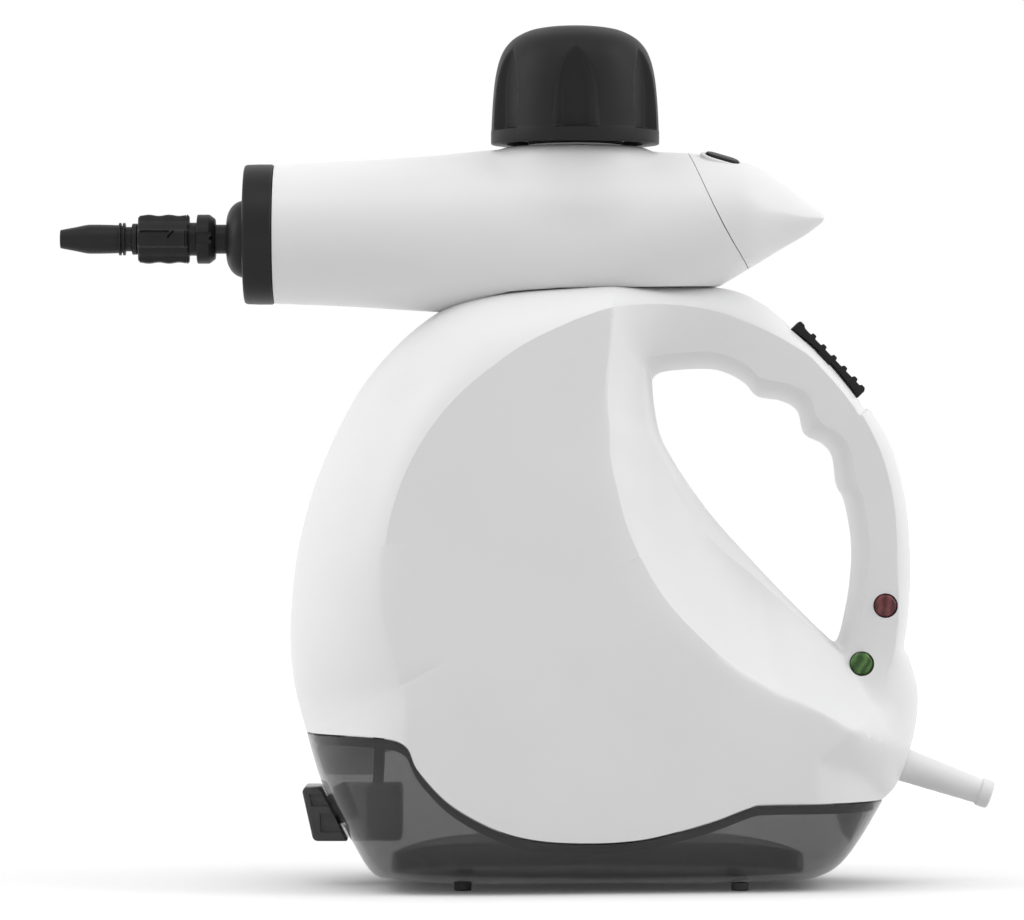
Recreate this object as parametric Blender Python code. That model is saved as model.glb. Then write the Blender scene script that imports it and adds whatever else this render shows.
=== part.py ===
# Handheld steam cleaner, in metres: +Z is up and the nozzle points to -X

import math
from bisect import bisect_right

import bmesh
import bpy
from mathutils import Matrix, Vector

# Body, seen from the side. Outlines further down are shares of its length and height.
body_length = 0.219
body_height = 0.2075
body_half_depth = 0.051
depth_taper_share = 0.12
front_rounding_share = 2.4
front_rounding_x = -0.030
handle_half_depth = 0.0175
disc_radius = 0.0879
shell_wall = 0.0025
clearance = 0.0003
parting_land = 0.0008
handle_edge = 0.0060
edge_band_low = 0.012
edge_band_high = 0.040
band_floor = 0.0036
band_power_low = 3.5
band_power_high = 2.0
scoop_power = 1.6
crease_share = 0.12
edge_bevel = 0.0006
block_bevel = 0.0012
foot_height = 0.0016

# Barrel and tail cover
boiler_x = -0.0098
barrel_length = 0.1922
neck_place_share = 0.546306
barrel_front_x = boiler_x - neck_place_share * barrel_length
barrel_radius = 0.0282
barrel_rise = 0.0177
barrel_axis_z = foot_height + body_height + barrel_rise
barrel_wall = 0.0022
saddle_gap = 0.0009
neck_boss_radius = 0.0264
neck_boss_wall = 0.0026
neck_boss_top = 0.0306
neck_boss_depth = 0.0200
window_half_width = 0.0176
slot_front = 0.0395
slot_half_width = 0.0085
barrel_end_share = 0.805
barrel_end_slant_share = 0.055
barrel_segments = 24
barrel_stations = 8

# Boiler
boiler_radius = 0.033
boiler_wall = 0.0025
boiler_bottom_share = 0.368193
boiler_bottom_z = foot_height + boiler_bottom_share * body_height
boiler_height = 0.062
boiler_flange_radius = 0.0412
boiler_flange = 0.0034
neck_radius = 0.0165
neck_rise = 0.0312
neck_top_z = barrel_axis_z + neck_rise
base_thickness = 0.0080
gasket_thickness = 0.0010
bolt_circle = 0.0373
bolt_radius = 0.0020
bolt_head_radius = 0.0034
bolt_head = 0.0026
shelf_thickness = 0.0030
shelf_hole = 0.0350
shelf_front = 0.0460
shelf_rear = 0.0440
heater_ring = 0.0240
heater_wire = 0.0038
thermostat_radius = 0.0080
thermostat_height = 0.0090
fuse_radius = 0.0025
fuse_half_length = 0.0075

# Safety cap and its thread
thread_pitch = 0.003
thread_height = 0.0010
thread_radius = 0.0124
thread_clearance = 0.0005
thread_length = 0.0065
thread_lead = 0.0006
thread_rows_per_pitch = 4
plug_reach = 0.0030
cap_radius = 0.0294
cap_height = 0.0413
cap_bottom_z = neck_top_z + clearance
cap_wall = 0.0030
flute_depth = 0.0026
flute_count = 6
flute_width_share = 0.30
flange_radius = 0.0200
flange_thickness = 0.0028
hub_radius = 0.0080
hub_height = 0.0260
hub_wall = 0.0026
seal_thickness = 0.0012
cap_spring_radius = 0.0135
cap_spring_wire = 0.0010

# Front collar, nozzle base, grip and jet nozzle
nozzle_drop = 0.0016
nozzle_axis_z = barrel_axis_z - nozzle_drop
collar_radius = 0.0245
collar_thickness = 0.0105
collar_spigot = 0.0040
dome_radius = 0.0135
dome_height = 0.0063
nozzle_flange_reach = 0.0270
nozzle_flange_x = barrel_front_x - nozzle_flange_reach
nozzle_flange_thickness = 0.0063
nozzle_flange_radius = 0.0086
base_collar_radius = 0.0051
base_tail_radius = 0.0036
base_tail_reach = 0.0028
base_tail_end = barrel_front_x + base_tail_reach
spigot_radius = 0.0039
spigot_length = 0.0160
lug_reach = 0.0050
lug_width = 0.0026
lug_length = 0.0020
lug_distance = 0.0110
bayonet_turn = math.radians(45.0)
steam_bore = 0.0015
grip_distance = 0.0028
grip_length = 0.0178
grip_rear_x = nozzle_flange_x - grip_distance
grip_front_x = grip_rear_x - grip_length
grip_radius = 0.0086
grip_core = 0.0064
grip_neck = 0.0058
fin_count = 8
jet_length = 0.0273
jet_tip_x = grip_front_x - jet_length
jet_radius = 0.0051
jet_bore = 0.0010
jet_gap = 0.0010
nozzle_seal_room = 0.0030
nozzle_seal_length = 0.0012
nozzle_flange_chamfer = 0.0015

# Steam valve and pipe
valve_half_width = 0.0090
valve_below = 0.0087
valve_above = 0.0098
valve_low_z = nozzle_axis_z - valve_below
valve_high_z = nozzle_axis_z + valve_above
valve_distance = 0.0172
valve_length = 0.0200
valve_rear_x = boiler_x - valve_distance
valve_front_x = valve_rear_x - valve_length
inlet_radius = 0.0032
pipe_radius = 0.0024

# Controls
trigger_length = 0.0332
trigger_half_width = 0.0072
trigger_thickness = 0.0030
trigger_lip = 0.0044
trigger_travel = 0.0030
trigger_place_share = (0.858447, 0.874458)
trigger_slope = math.radians(46.1)
trigger_slot_depth = 0.0078
trigger_lip_run = 0.0030
stem_reach = 0.0070
stem_front = 0.0045
stem_rear = 0.0015
switch_front = 0.0100
switch_rear = 0.0040
switch_half_width = 0.0032
switch_low = 0.0168
switch_top = 0.0110
switch_ledge = 0.0028
plunger_length = 0.0030
plunger_half_width = 0.0014
spring_seat = 0.0105
spring_along = 0.0090
spring_shelf = 0.0022
spring_shelf_half_length = 0.0025
trigger_spring_radius = 0.0019
rib_count = 6
rib_height = 0.0009
button_place_share = 0.812175
button_x = barrel_front_x + button_place_share * barrel_length
button_rise = 0.0259
button_z = barrel_axis_z + button_rise
button_slope = math.radians(17.0)
button_tilt = math.radians(14.0)
button_side = -0.0070
button_length = 0.0122
button_width = 0.0066
button_travel = 0.0020
stem_radius = 0.0020
sleeve_depth = 0.0120
sleeve_wall = 0.0014
sleeve_rise = 0.0006
button_height = 0.0036
button_proud = 0.0012
stem_length = 0.0160
pump_bore_depth = 0.0085
button_spring_radius = 0.0030
pump_radius = 0.0060
pump_length = 0.0150
lens_radius = 0.00395
lens_rise = 0.0008
lens_depth = 0.0060
lens_thickness = 0.0022
lamp_radius = 0.0030
lamp_length = 0.0100
red_lens_share = (0.9449, 0.4626)
green_lens_share = (0.9068, 0.3661)

# Tank, its stopper and the feet
tank_wall = 0.0022
stopper_place_share = (0.066210, 0.115663)
stopper_slope = math.radians(22.0)
stopper_height = 0.0187
stopper_width = 0.0220
stopper_thickness = 0.0072
stopper_travel = 0.0120
plug_radius = 0.0054
plug_length = 0.0085
tank_neck_length = 0.0082
tank_neck_start = 0.0010
tank_neck_wall = 0.0018
stopper_gap = 0.0007
seal_groove = 0.0012
foot_radius = 0.0030
foot_rear_share = (0.712329, 0.0)
foot_front_share = (0.277169, 0.0)
foot_side = 0.0300
foot_seat_z = 0.0030
foot_chamfer = 0.0004

# Detergent path: strainer, hoses and the pump's ports
filter_half_width = 0.0100
filter_place_share = (0.123288, 0.069398)
filter_length = 0.0125
filter_height = 0.0190
hose_set_back = 0.0038
hose_floor_share = 0.248
hose_end_gap = 0.0015
hose_end_side = 0.0062
port_ahead = 0.0040
port_side = 0.0030
port_drop = 0.0035

# Cord outlet
boot_place_share = (0.973699, 0.194699)
boot_slope = math.radians(19.4)
boot_length = 0.0337
boot_radius = 0.0059
boot_end_radius = 0.0044
boot_ring_radius = 0.0050
boot_ring_length = 0.0048
boot_bore = 0.0034
boot_flange = 0.0085
boot_flange_back = 0.0056
boot_flange_front = 0.0038
boot_hole_depth = 0.0080
clamp_screw_radius = 0.0012
clamp_screw_depth = 0.0060
clamp_back = 0.0150
clamp_spacing = 0.0068
clamp_boss = 0.0030
clamp_seat = 0.0023
clamp_thickness = 0.0030
terminal_place_share = (0.691781, 0.1557)
terminal_length = 0.0200
terminal_half_width = 0.0080
terminal_height = 0.0120

# Fasteners and small springs
screw_radius = 0.0015
screw_head_radius = 0.0030
screw_head = 0.0022
screw_length = 0.0200
boss_radius = 0.0042
overrun = 0.0030
wire_radius = 0.0004
hose_radius = 0.0020

# Where the two silhouettes, the tank seam and the hand opening run: shares of length and height
silhouette_share = [
    (0.027, 0.247), (0.006, 0.335), (0.001, 0.436), (0.016, 0.571), (0.056, 0.706), (0.124, 0.841),
    (0.224, 0.945), (0.324, 0.987), (0.476, 0.999), (0.575, 1.000), (0.671, 0.997), (0.719, 0.987),
    (0.756, 0.967), (0.784, 0.944), (0.799, 0.928), (0.824, 0.904), (0.848, 0.879), (0.877, 0.846),
    (0.896, 0.822), (0.909, 0.803), (0.917, 0.791), (0.928, 0.786), (0.960, 0.726), (0.983, 0.630),
    (0.990, 0.527), (0.986, 0.441), (0.980, 0.392),
    (0.989, 0.370), (1.002, 0.313), (0.995, 0.244), (0.970, 0.168), (0.947, 0.139),
]
seam_share = [
    (0.027, 0.247), (0.181, 0.245), (0.216, 0.193), (0.263, 0.1395), (0.332, 0.098), (0.398, 0.079),
    (0.479, 0.074), (0.548, 0.079), (0.601, 0.091), (0.669, 0.112), (0.723, 0.134), (0.757, 0.1395),
    (0.947, 0.139),
]
tank_share = [
    (0.027, 0.247), (0.053, 0.162), (0.098, 0.074), (0.132, 0.019), (0.164, 0.008), (0.260, 0.000),
    (0.500, 0.000), (0.746, 0.001), (0.864, 0.021), (0.947, 0.139),
]
opening_share = [
    (0.578, 0.839), (0.585, 0.849), (0.607, 0.856), (0.660, 0.859), (0.692, 0.854), (0.725, 0.836),
    (0.746, 0.813), (0.784, 0.805), (0.810, 0.788), (0.821, 0.750), (0.849, 0.733), (0.865, 0.712),
    (0.872, 0.664), (0.884, 0.638), (0.895, 0.574), (0.895, 0.520), (0.887, 0.458), (0.872, 0.402),
    (0.850, 0.416), (0.823, 0.443), (0.770, 0.500), (0.725, 0.551), (0.692, 0.589), (0.660, 0.630),
    (0.634, 0.668), (0.611, 0.706), (0.591, 0.747), (0.581, 0.799),
]
opening_centre_share = (0.727, 0.647)
disc_centre_share = (0.555, 0.512)
# The flat face's edge: degrees, and share of the disc's radius
face_edge_share = [
    (0.0, 1.018), (4.0, 1.018), (10.7, 1.032), (19.7, 1.054), (27.4, 1.072), (35.6, 1.085),
    (43.3, 1.094), (49.7, 1.099), (57.8, 1.092), (66.9, 1.086), (75.0, 1.085), (88.8, 1.068),
    (97.0, 1.050), (108.0, 1.022), (125.0, 1.0), (300.0, 0.99), (315.0, 0.991), (328.0, 1.035),
    (336.0, 1.050), (345.0, 1.045), (360.0, 1.018),
]
# The scoop's edge round the hand opening: degrees, and share of the disc's radius
scoop_share = [
    (0.0, 3.10), (45.0, 3.10), (90.0, 2.20), (110.0, 1.35), (127.3, 0.88), (149.0, 0.65), (164.0, 0.57),
    (183.0, 0.51), (214.0, 0.495), (247.6, 0.572), (270.6, 0.716), (277.8, 0.779), (283.7, 0.832),
    (288.8, 0.898), (293.8, 1.00), (300.0, 1.12), (308.0, 1.28), (318.0, 1.55), (335.0, 2.20),
    (360.0, 3.10),
]
# Barrel sections: share of the length, then top, bottom and side as shares of the radius
barrel_share = [
    (0.000, 0.856, 0.856, 0.856), (0.137, 0.905, 0.894, 0.900), (0.282, 0.968, 0.955, 0.960),
    (0.410, 1.050, 0.993, 1.000), (0.592, 1.062, 0.993, 1.000), (0.701, 1.020, 0.950, 1.000),
    (0.774, 0.993, 0.770, 0.950), (0.860, 0.880, 0.434, 0.820), (0.920, 0.645, 0.186, 0.550),
    (0.965, 0.410, 0.006, 0.300), (1.000, 0.200, -0.200, 0.000),
]
# Cap profile from its top down: radius and height as shares
cap_share = [
    (0.46, 0.975), (0.70, 0.920), (0.84, 0.810), (0.905, 0.700), (0.945, 0.590), (0.976, 0.420),
    (0.996, 0.125), (1.0, 0.105), (1.0, 0.0),
]


def side_point(share):
    return (share[0] - 0.5) * body_length, foot_height + share[1] * body_height


# Places that follow the body's side
trigger_x, trigger_z = side_point(trigger_place_share)
red_lens_x, red_lens_z = side_point(red_lens_share)
green_lens_x, green_lens_z = side_point(green_lens_share)
stopper_x, stopper_z = side_point(stopper_place_share)
foot_rear_x = side_point(foot_rear_share)[0]
foot_front_x = side_point(foot_front_share)[0]
filter_front_x, filter_low_z = side_point(filter_place_share)
filter_rear_x = filter_front_x + filter_length
filter_high_z = filter_low_z + filter_height
hose_x = filter_front_x + hose_set_back
hose_floor_z = foot_height + hose_floor_share * body_height
boot_x, boot_z = side_point(boot_place_share)
terminal_front_x, terminal_z = side_point(terminal_place_share)
terminal_rear_x = terminal_front_x + terminal_length


def curve_through(points, steps):
    """Points on a smooth curve through the given ones, open at both ends."""
    ends = [points[0]] + list(points) + [points[-1]]
    curve = []
    for i in range(1, len(ends) - 2):
        a, b, c, d = ends[i - 1:i + 3]
        for k in range(steps):
            t = k / steps
            curve.append(tuple(spline_value(a[j], b[j], c[j], d[j], t) for j in range(len(b))))
    curve.append(tuple(points[-1]))
    return curve


def spline_value(a, b, c, d, t):
    square = 2 * a - 5 * b + 4 * c - d
    cube = 3 * b - a - 3 * c + d
    return 0.5 * (2 * b + (c - a) * t + square * t ** 2 + cube * t ** 3)


def table_value(table, x, column=1):
    rows = [row[0] for row in table]
    i = min(max(bisect_right(rows, x) - 1, 0), len(table) - 2)
    t = min(max((x - rows[i]) / (rows[i + 1] - rows[i]), 0), 1)
    return table[i][column] + (table[i + 1][column] - table[i][column]) * t


def smooth_table(table, steps=6):
    return curve_through(table, steps)


def ease(x):
    x = min(max(x, 0), 1)
    return x * x * (3 - 2 * x)


def mix(a, b, t):
    return a + (b - a) * t


class PolarOutline:
    """A closed outline that can be asked how far out it lies in any direction from its centre."""

    def __init__(self, centre, points):
        self.centre = centre
        keyed = {}
        for x, z in points:
            angle = math.atan2(z - centre[1], x - centre[0]) % math.tau
            keyed[round(angle, 9)] = (x - centre[0], z - centre[1])
        self.angles = sorted(keyed)
        self.points = [keyed[angle] for angle in self.angles]

    def radius(self, angle):
        angle %= math.tau
        i = bisect_right(self.angles, angle) - 1
        ax, az = self.points[i]
        bx, bz = self.points[(i + 1) % len(self.points)]
        ux, uz = math.cos(angle), math.sin(angle)
        across = ux * (bz - az) - uz * (bx - ax)
        return (ax * (bz - az) - az * (bx - ax)) / across

    def polar(self, x, z):
        dx, dz = x - self.centre[0], z - self.centre[1]
        return math.hypot(dx, dz), math.atan2(dz, dx)


silhouette = curve_through([side_point(p) for p in silhouette_share], 6)
seam = curve_through([side_point(p) for p in seam_share], 6)
tank_edge = curve_through([side_point(p) for p in tank_share], 6)
opening = curve_through([side_point(p) for p in opening_share] + [side_point(opening_share[0])], 4)
whole_outline = PolarOutline(side_point(disc_centre_share), silhouette + tank_edge[1:-1])
opening_outline = PolarOutline(side_point(opening_centre_share), opening[:-1])
outline_steps = 31
seam_steps = 12
scoop = smooth_table([(math.radians(a), r * disc_radius) for a, r in scoop_share])


def edge_share(q, power):
    if q >= 1:
        return 1.0
    curve = (1 - (1 - q) ** power) ** (1 / power)
    return (1 - crease_share) * curve + crease_share * q


def outer_gap(x, z):
    r, angle = whole_outline.polar(x, z)
    return whole_outline.radius(angle) - r


def band_share(x, z, inset):
    """How far in from the silhouette a point lies, as a share of the rounded band there."""
    r, angle = whole_outline.polar(x, z)
    reach = whole_outline.radius(angle)
    face_radius = disc_radius * table_value(face_edge_share, math.degrees(angle) % 360)
    low = ease((z - foot_height) / (body_height * 0.34))
    limit = mix(edge_band_low, edge_band_high, low)
    band = min(max(reach - face_radius, band_floor), limit)
    return (reach - r - inset) / band, mix(band_power_low, band_power_high, low)


def scoop_depth(x, z):
    """Half thickness before the edges are rounded: thick body, thin handle, concave between."""
    r, angle = opening_outline.polar(x, z)
    face = body_half_depth - depth_taper_share * x
    face -= body_half_depth * front_rounding_share * (min(x - front_rounding_x, 0) / body_length) ** 2
    rim = table_value(scoop, angle % math.tau)
    inner = opening_outline.radius(angle)
    q = min((rim - r) / max(rim - inner, parting_land), 1)
    if q <= 0:
        return face
    return handle_half_depth + (face - handle_half_depth) * (1 - q) ** scoop_power


def half_depth(x, z, inset=0.0):
    """Half thickness of the body at a point of its side view; inset gives the surface inside it."""
    q, power = band_share(x, z, inset)
    r, angle = opening_outline.polar(x, z)
    inner = (r - opening_outline.radius(angle) - inset) / handle_edge
    if q <= 0 or inner <= 0:
        return 0.0
    return max((scoop_depth(x, z) - inset) * edge_share(q, power) * edge_share(inner, 2.0), 0.0)


def skin(rings, closed=False, start=None, end=None):
    """A closed mesh through rings of points; a ring's ends meet, and poles or flat caps close it."""
    mesh = bmesh.new()
    rows = [[mesh.verts.new(p) for p in ring] for ring in rings]
    pairs = list(zip(rows, rows[1:]))
    if closed:
        pairs.append((rows[-1], rows[0]))
    for low, high in pairs:
        for i in range(len(low)):
            j = (i + 1) % len(low)
            mesh.faces.new((low[i], low[j], high[j], high[i]))
    if not closed:
        for row, pole in ((rows[0], start), (rows[-1], end)):
            close_end(mesh, row, pole)
    bmesh.ops.recalc_face_normals(mesh, faces=mesh.faces)
    return mesh


def close_end(mesh, row, pole):
    if pole is None:
        mesh.faces.new(row)
        return
    tip = mesh.verts.new(pole)
    for i in range(len(row)):
        mesh.faces.new((row[i], row[(i + 1) % len(row)], tip))


def turned(profile, segments=32, ripple=None):
    """A solid turned about Z; a profile that starts and ends on the axis has poles."""
    solid = profile[0][0] == 0
    rows = profile[1:-1] if solid else profile
    rings = []
    for row in rows:
        wave = row[2] if len(row) > 2 else 0
        ring = []
        for k in range(segments):
            angle = math.tau * k / segments
            r = row[0] + (wave * ripple(angle, row[1]) if wave else 0)
            ring.append((r * math.cos(angle), r * math.sin(angle), row[1]))
        rings.append(ring)
    if solid:
        return skin(rings, start=(0, 0, profile[0][1]), end=(0, 0, profile[-1][1]))
    return skin(rings, closed=True)


def prism(outline, low, high):
    """An outline in X and Y, extruded along Z."""
    return skin([[(x, y, low) for x, y in outline], [(x, y, high) for x, y in outline]])


def block(low, high):
    corners = [(low[0], low[1]), (high[0], low[1]), (high[0], high[1]), (low[0], high[1])]
    return prism(corners, low[2], high[2])


def soft_block(low, high, bevel):
    mesh = block(low, high)
    bmesh.ops.bevel(mesh, geom=mesh.edges, offset=bevel, segments=1, profile=0.5, affect="EDGES")
    return mesh


def rod(radius, low, high, segments=24):
    return turned([(0, low), (radius, low), (radius, high), (0, high)], segments)


def tube(inner, outer, low, high, segments=32):
    return turned([(inner, low), (outer, low), (outer, high), (inner, high)], segments)


def pill(length, width, low, high, steps=8):
    """A round-ended bar along X, extruded along Z."""
    r = width / 2
    outline = []
    for side in (1, -1):
        for k in range(steps + 1):
            angle = math.pi * (k / steps - 0.5)
            outline.append((side * (length / 2 - r + r * math.cos(angle)), side * r * math.sin(angle)))
    return prism(outline, low, high)


def sweep(points, radius, sides=10):
    """A round tube along a line of points, with flat ends."""
    points = [Vector(p) for p in points]
    rings = []
    side = None
    for i, p in enumerate(points):
        ahead = (points[min(i + 1, len(points) - 1)] - points[max(i - 1, 0)]).normalized()
        if side is None:
            side = ahead.orthogonal().normalized()
        side = (side - ahead * side.dot(ahead)).normalized()
        up = ahead.cross(side)
        rings.append([p + side * radius * math.cos(math.tau * k / sides)
                      + up * radius * math.sin(math.tau * k / sides) for k in range(sides)])
    return skin(rings)


def coil(radius, wire, low, high, turns, per_turn=7, sides=4):
    count = round(turns * per_turn)
    line = []
    for i in range(count + 1):
        angle = math.tau * i / per_turn
        rise = mix(low + wire, high - wire, i / count)
        line.append((radius * math.cos(angle), radius * math.sin(angle), rise))
    return sweep(line, wire, sides)


def placed(mesh, matrix):
    bmesh.ops.transform(mesh, matrix=matrix, verts=mesh.verts)
    if matrix.determinant() < 0:
        bmesh.ops.reverse_faces(mesh, faces=mesh.faces)
    return mesh


def frame(origin, along, up):
    """Places a shape whose Z is `along` and whose X is nearest to `up`."""
    z = Vector(along).normalized()
    x = (Vector(up) - z * Vector(up).dot(z)).normalized()
    y = z.cross(x)
    matrix = Matrix((x, y, z)).transposed().to_4x4()
    matrix.translation = Vector(origin)
    return matrix


def joined(meshes):
    """Several closed shapes in one mesh, for use as one cutter or one addition."""
    whole = bmesh.new()
    for mesh in meshes:
        shift = {v: whole.verts.new(v.co) for v in mesh.verts}
        for face in mesh.faces:
            whole.faces.new([shift[v] for v in face.verts])
        mesh.free()
    return whole


def clear_scene():
    for item in list(bpy.data.objects):
        bpy.data.objects.remove(item, do_unlink=True)


def make_material(name, colour, roughness, metallic=0.0, alpha=1.0):
    material = bpy.data.materials.get(name) or bpy.data.materials.new(name)
    material.use_nodes = True
    shader = material.node_tree.nodes["Principled BSDF"]
    shader.inputs["Base Color"].default_value = (*colour, 1)
    shader.inputs["Roughness"].default_value = roughness
    shader.inputs["Metallic"].default_value = metallic
    shader.inputs["Alpha"].default_value = alpha
    return material


finishes = {
    "white": ((0.80, 0.80, 0.80), 0.30, 0.0),
    "black": ((0.020, 0.020, 0.021), 0.38, 0.0),
    "smoke": ((0.06, 0.06, 0.065), 0.15, 0.0, 0.6),
    "rubber": ((0.03, 0.03, 0.03), 0.75, 0.0),
    "silicone": ((0.55, 0.20, 0.14), 0.6, 0.0),
    "aluminium": ((0.72, 0.73, 0.74), 0.35, 1.0),
    "steel": ((0.62, 0.62, 0.63), 0.28, 1.0),
    "brass": ((0.72, 0.55, 0.28), 0.30, 1.0),
    "nylon": ((0.70, 0.69, 0.64), 0.5, 0.0),
    "red": ((0.35, 0.03, 0.03), 0.12, 0.0),
    "green": ((0.05, 0.28, 0.04), 0.12, 0.0),
    "grey": ((0.30, 0.31, 0.32), 0.5, 0.0),
}
root = None


def add_piece(name, mesh, finish, pivot=(0, 0, 0), sharp=35.0):
    """Links one piece, with its origin on the pivot, under the shared root."""
    bmesh.ops.translate(mesh, verts=mesh.verts, vec=-Vector(pivot))
    data = bpy.data.meshes.new(name)
    mesh.to_mesh(data)
    mesh.free()
    data.shade_smooth()
    data.set_sharp_from_angle(angle=math.radians(sharp))
    data.materials.append(make_material(name + "_" + finish, *finishes[finish]))
    piece = bpy.data.objects.new(name, data)
    piece.location = pivot
    piece.parent = root
    bpy.context.scene.collection.objects.link(piece)
    return piece


def add_guide(name, mesh):
    """A hidden shape that a Boolean adds or cuts away."""
    data = bpy.data.meshes.new(name)
    mesh.to_mesh(data)
    mesh.free()
    guide = bpy.data.objects.new(name, data)
    guide.hide_render = True
    guide.display_type = "WIRE"
    guide.parent = root
    bpy.context.scene.collection.objects.link(guide)
    return guide


def combine(piece, mesh, operation):
    guide = add_guide(piece.name + "_" + operation.lower(), mesh)
    step = piece.modifiers.new(operation.title(), "BOOLEAN")
    step.operation = operation
    step.solver = "EXACT"
    step.object = guide


def even_points(line, count):
    """Count + 1 points at equal steps along a line."""
    lengths = [0.0]
    for a, b in zip(line, line[1:]):
        lengths.append(lengths[-1] + math.dist(a, b))
    points = []
    for k in range(count + 1):
        target = lengths[-1] * k / count
        i = min(max(bisect_right(lengths, target) - 1, 0), len(line) - 2)
        t = (target - lengths[i]) / max(lengths[i + 1] - lengths[i], 1e-12)
        points.append((mix(line[i][0], line[i + 1][0], t), mix(line[i][1], line[i + 1][1], t)))
    return points


seam_line = even_points(seam, seam_steps)


def shell_lines():
    """Pairs of points, one on the shell's outer edge and one on the hand opening, all the way round."""
    edge = even_points(silhouette, outline_steps) + seam_line[-2:0:-1]
    lines = []
    last = None
    for x, z in edge:
        angle = opening_outline.polar(x, z)[1] % math.tau
        if last is not None:
            while angle > last:
                angle -= math.tau
            angle = min(angle, last - math.radians(0.4))
        last = angle
        r = opening_outline.radius(angle)
        centre = opening_outline.centre
        lines.append(((x, z), (centre[0] + r * math.cos(angle), centre[1] + r * math.sin(angle))))
    return lines


def first_share(test):
    """The smallest share along a line, to a thousandth, at which a test holds."""
    low, high = 0.0, 1.0
    for _ in range(12):
        middle = (low + high) / 2
        if test(middle):
            high = middle
        else:
            low = middle
    return high


# Rings of points across the shell: over the rounded band, the face, the scoop and the inner edge
outer_steps_share = ([0.04, 0.20, 0.50, 1.0], [1.0], [0.30, 0.65, 1.0], [0.60])
inner_steps_share = ([0.12, 1.0], [1.0], [0.50, 1.0], [0.70])


def line_shares(outer, inner, steps):
    """Where rings of points lie between the shell's edge and the hand opening."""
    def at(s):
        return mix(outer[0], inner[0], s), mix(outer[1], inner[1], s)

    def in_scoop(s):
        r, angle = opening_outline.polar(*at(s))
        return r < table_value(scoop, angle % math.tau)

    length = math.dist(outer, inner)
    edge = 1 - min(handle_edge / length, 0.3)
    band = min(first_share(lambda s: band_share(*at(s), 0)[0] >= 1), 0.8 * edge)
    band = max(band, 0.08)
    rim = min(max(first_share(in_scoop), band + 0.06), edge - 0.08)
    stops = (0.0, band, rim, edge, 1.0)
    return [mix(stops[i], stops[i + 1], s) for i, group in enumerate(steps) for s in group]


def moved_in(lines, distance):
    """The same lines, shortened at both ends by a wall measured square to the outlines."""
    count = len(lines)
    result = []
    for i, (outer, inner) in enumerate(lines):
        shifted = []
        for end, other, column in ((outer, inner, 0), (inner, outer, 1)):
            before, after = lines[i - 1][column], lines[(i + 1) % count][column]
            tangent = Vector((after[0] - before[0], after[1] - before[1])).normalized()
            toward = Vector((other[0] - end[0], other[1] - end[1])).normalized()
            square = abs(toward.x * tangent.y - toward.y * tangent.x)
            step = toward * distance / max(square, 0.45)
            shifted.append((end[0] + step.x, end[1] + step.y))
        result.append(tuple(shifted))
    return result


def shell_rings(lines, inset, steps):
    """Rings from the outer edge over the face and the scoop to the hand opening."""
    rings = [[] for _ in range(sum(len(group) for group in steps) + 4)]
    for outer, inner in lines:
        shares = line_shares(outer, inner, steps)
        floor = clearance / 2
        rings[0].append((outer[0], -floor, outer[1]))
        rings[1].append((outer[0], -max(half_depth(*outer, inset), parting_land), outer[1]))
        for ring, s in zip(rings[2:], shares):
            x, z = mix(outer[0], inner[0], s), mix(outer[1], inner[1], s)
            ring.append((x, -max(half_depth(x, z, inset), parting_land), z))
        rings[-2].append((inner[0], -parting_land, inner[1]))
        rings[-1].append((inner[0], -floor, inner[1]))
    return rings


screw_places_share = [
    (0.157, 0.329), (0.223, 0.780), (0.687, 0.925), (0.936, 0.615), (0.815, 0.222), (0.418, 0.128),
]


def boss_end(x, z, radius, share):
    """How deep a boss may reach: inside the wall everywhere on its round end."""
    depths = [half_depth(x + radius * math.cos(a), z + radius * math.sin(a))
              for a in (math.tau * k / 8 for k in range(8))]
    return min(depths + [half_depth(x, z)]) - shell_wall * share


def sideways(mesh, x, z, side=1):
    """Turns a shape's Z to the side: +1 towards +Y, -1 towards -Y."""
    return placed(mesh, frame((x, 0, z), (0, side, 0), (1, 0, 0)))


def trigger_frame():
    normal = (math.sin(trigger_slope), 0, math.cos(trigger_slope))
    along = (math.cos(trigger_slope), 0, -math.sin(trigger_slope))
    return frame((trigger_x, 0, trigger_z), normal, along)


def boot_frame():
    return frame((boot_x, 0, boot_z), (math.cos(boot_slope), 0, -math.sin(boot_slope)), (0, 1, 0))


def shell_additions(side):
    """Bosses, the boiler's shelf and the seats in one half; side is -1 on the left, +1 on the right."""
    parts = []
    gap = clearance / 2
    for share in screw_places_share:
        x, z = side_point(share)
        reach = boss_end(x, z, boss_radius, 0.5)
        parts.append(sideways(rod(boss_radius, gap, reach, 12), x, z, side))
    parts.append(boiler_shelf(side))
    width = handle_half_depth - shell_wall / 2
    beam = block((spring_along - spring_shelf_half_length, gap, -spring_seat),
                 (spring_along + spring_shelf_half_length, width, -spring_seat + spring_shelf))
    ledge = block((-switch_front * 0.9, gap, -switch_low - switch_ledge),
                  (switch_rear, width, -switch_low - clearance))
    for mesh in (beam, ledge):
        mirrored = placed(mesh, Matrix.Diagonal((1, side, 1, 1)))
        parts.append(placed(mirrored, trigger_frame()))
    if side < 0:
        for offset in (-clamp_spacing, clamp_spacing):
            x, z = clamp_point(offset)
            reach = boss_end(x, z, boss_radius, 0.5)
            parts.append(sideways(rod(clamp_boss, -clamp_seat, reach, 12), x, z, side))
    return joined(parts)


def clamp_point(offset):
    ahead = (math.cos(boot_slope), -math.sin(boot_slope))
    across = (math.sin(boot_slope), math.cos(boot_slope))
    return (boot_x - ahead[0] * clamp_back + across[0] * offset,
            boot_z - ahead[1] * clamp_back + across[1] * offset)


def shelf_z():
    return boiler_bottom_z - gasket_thickness - 2 * clearance - base_thickness - clearance


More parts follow.
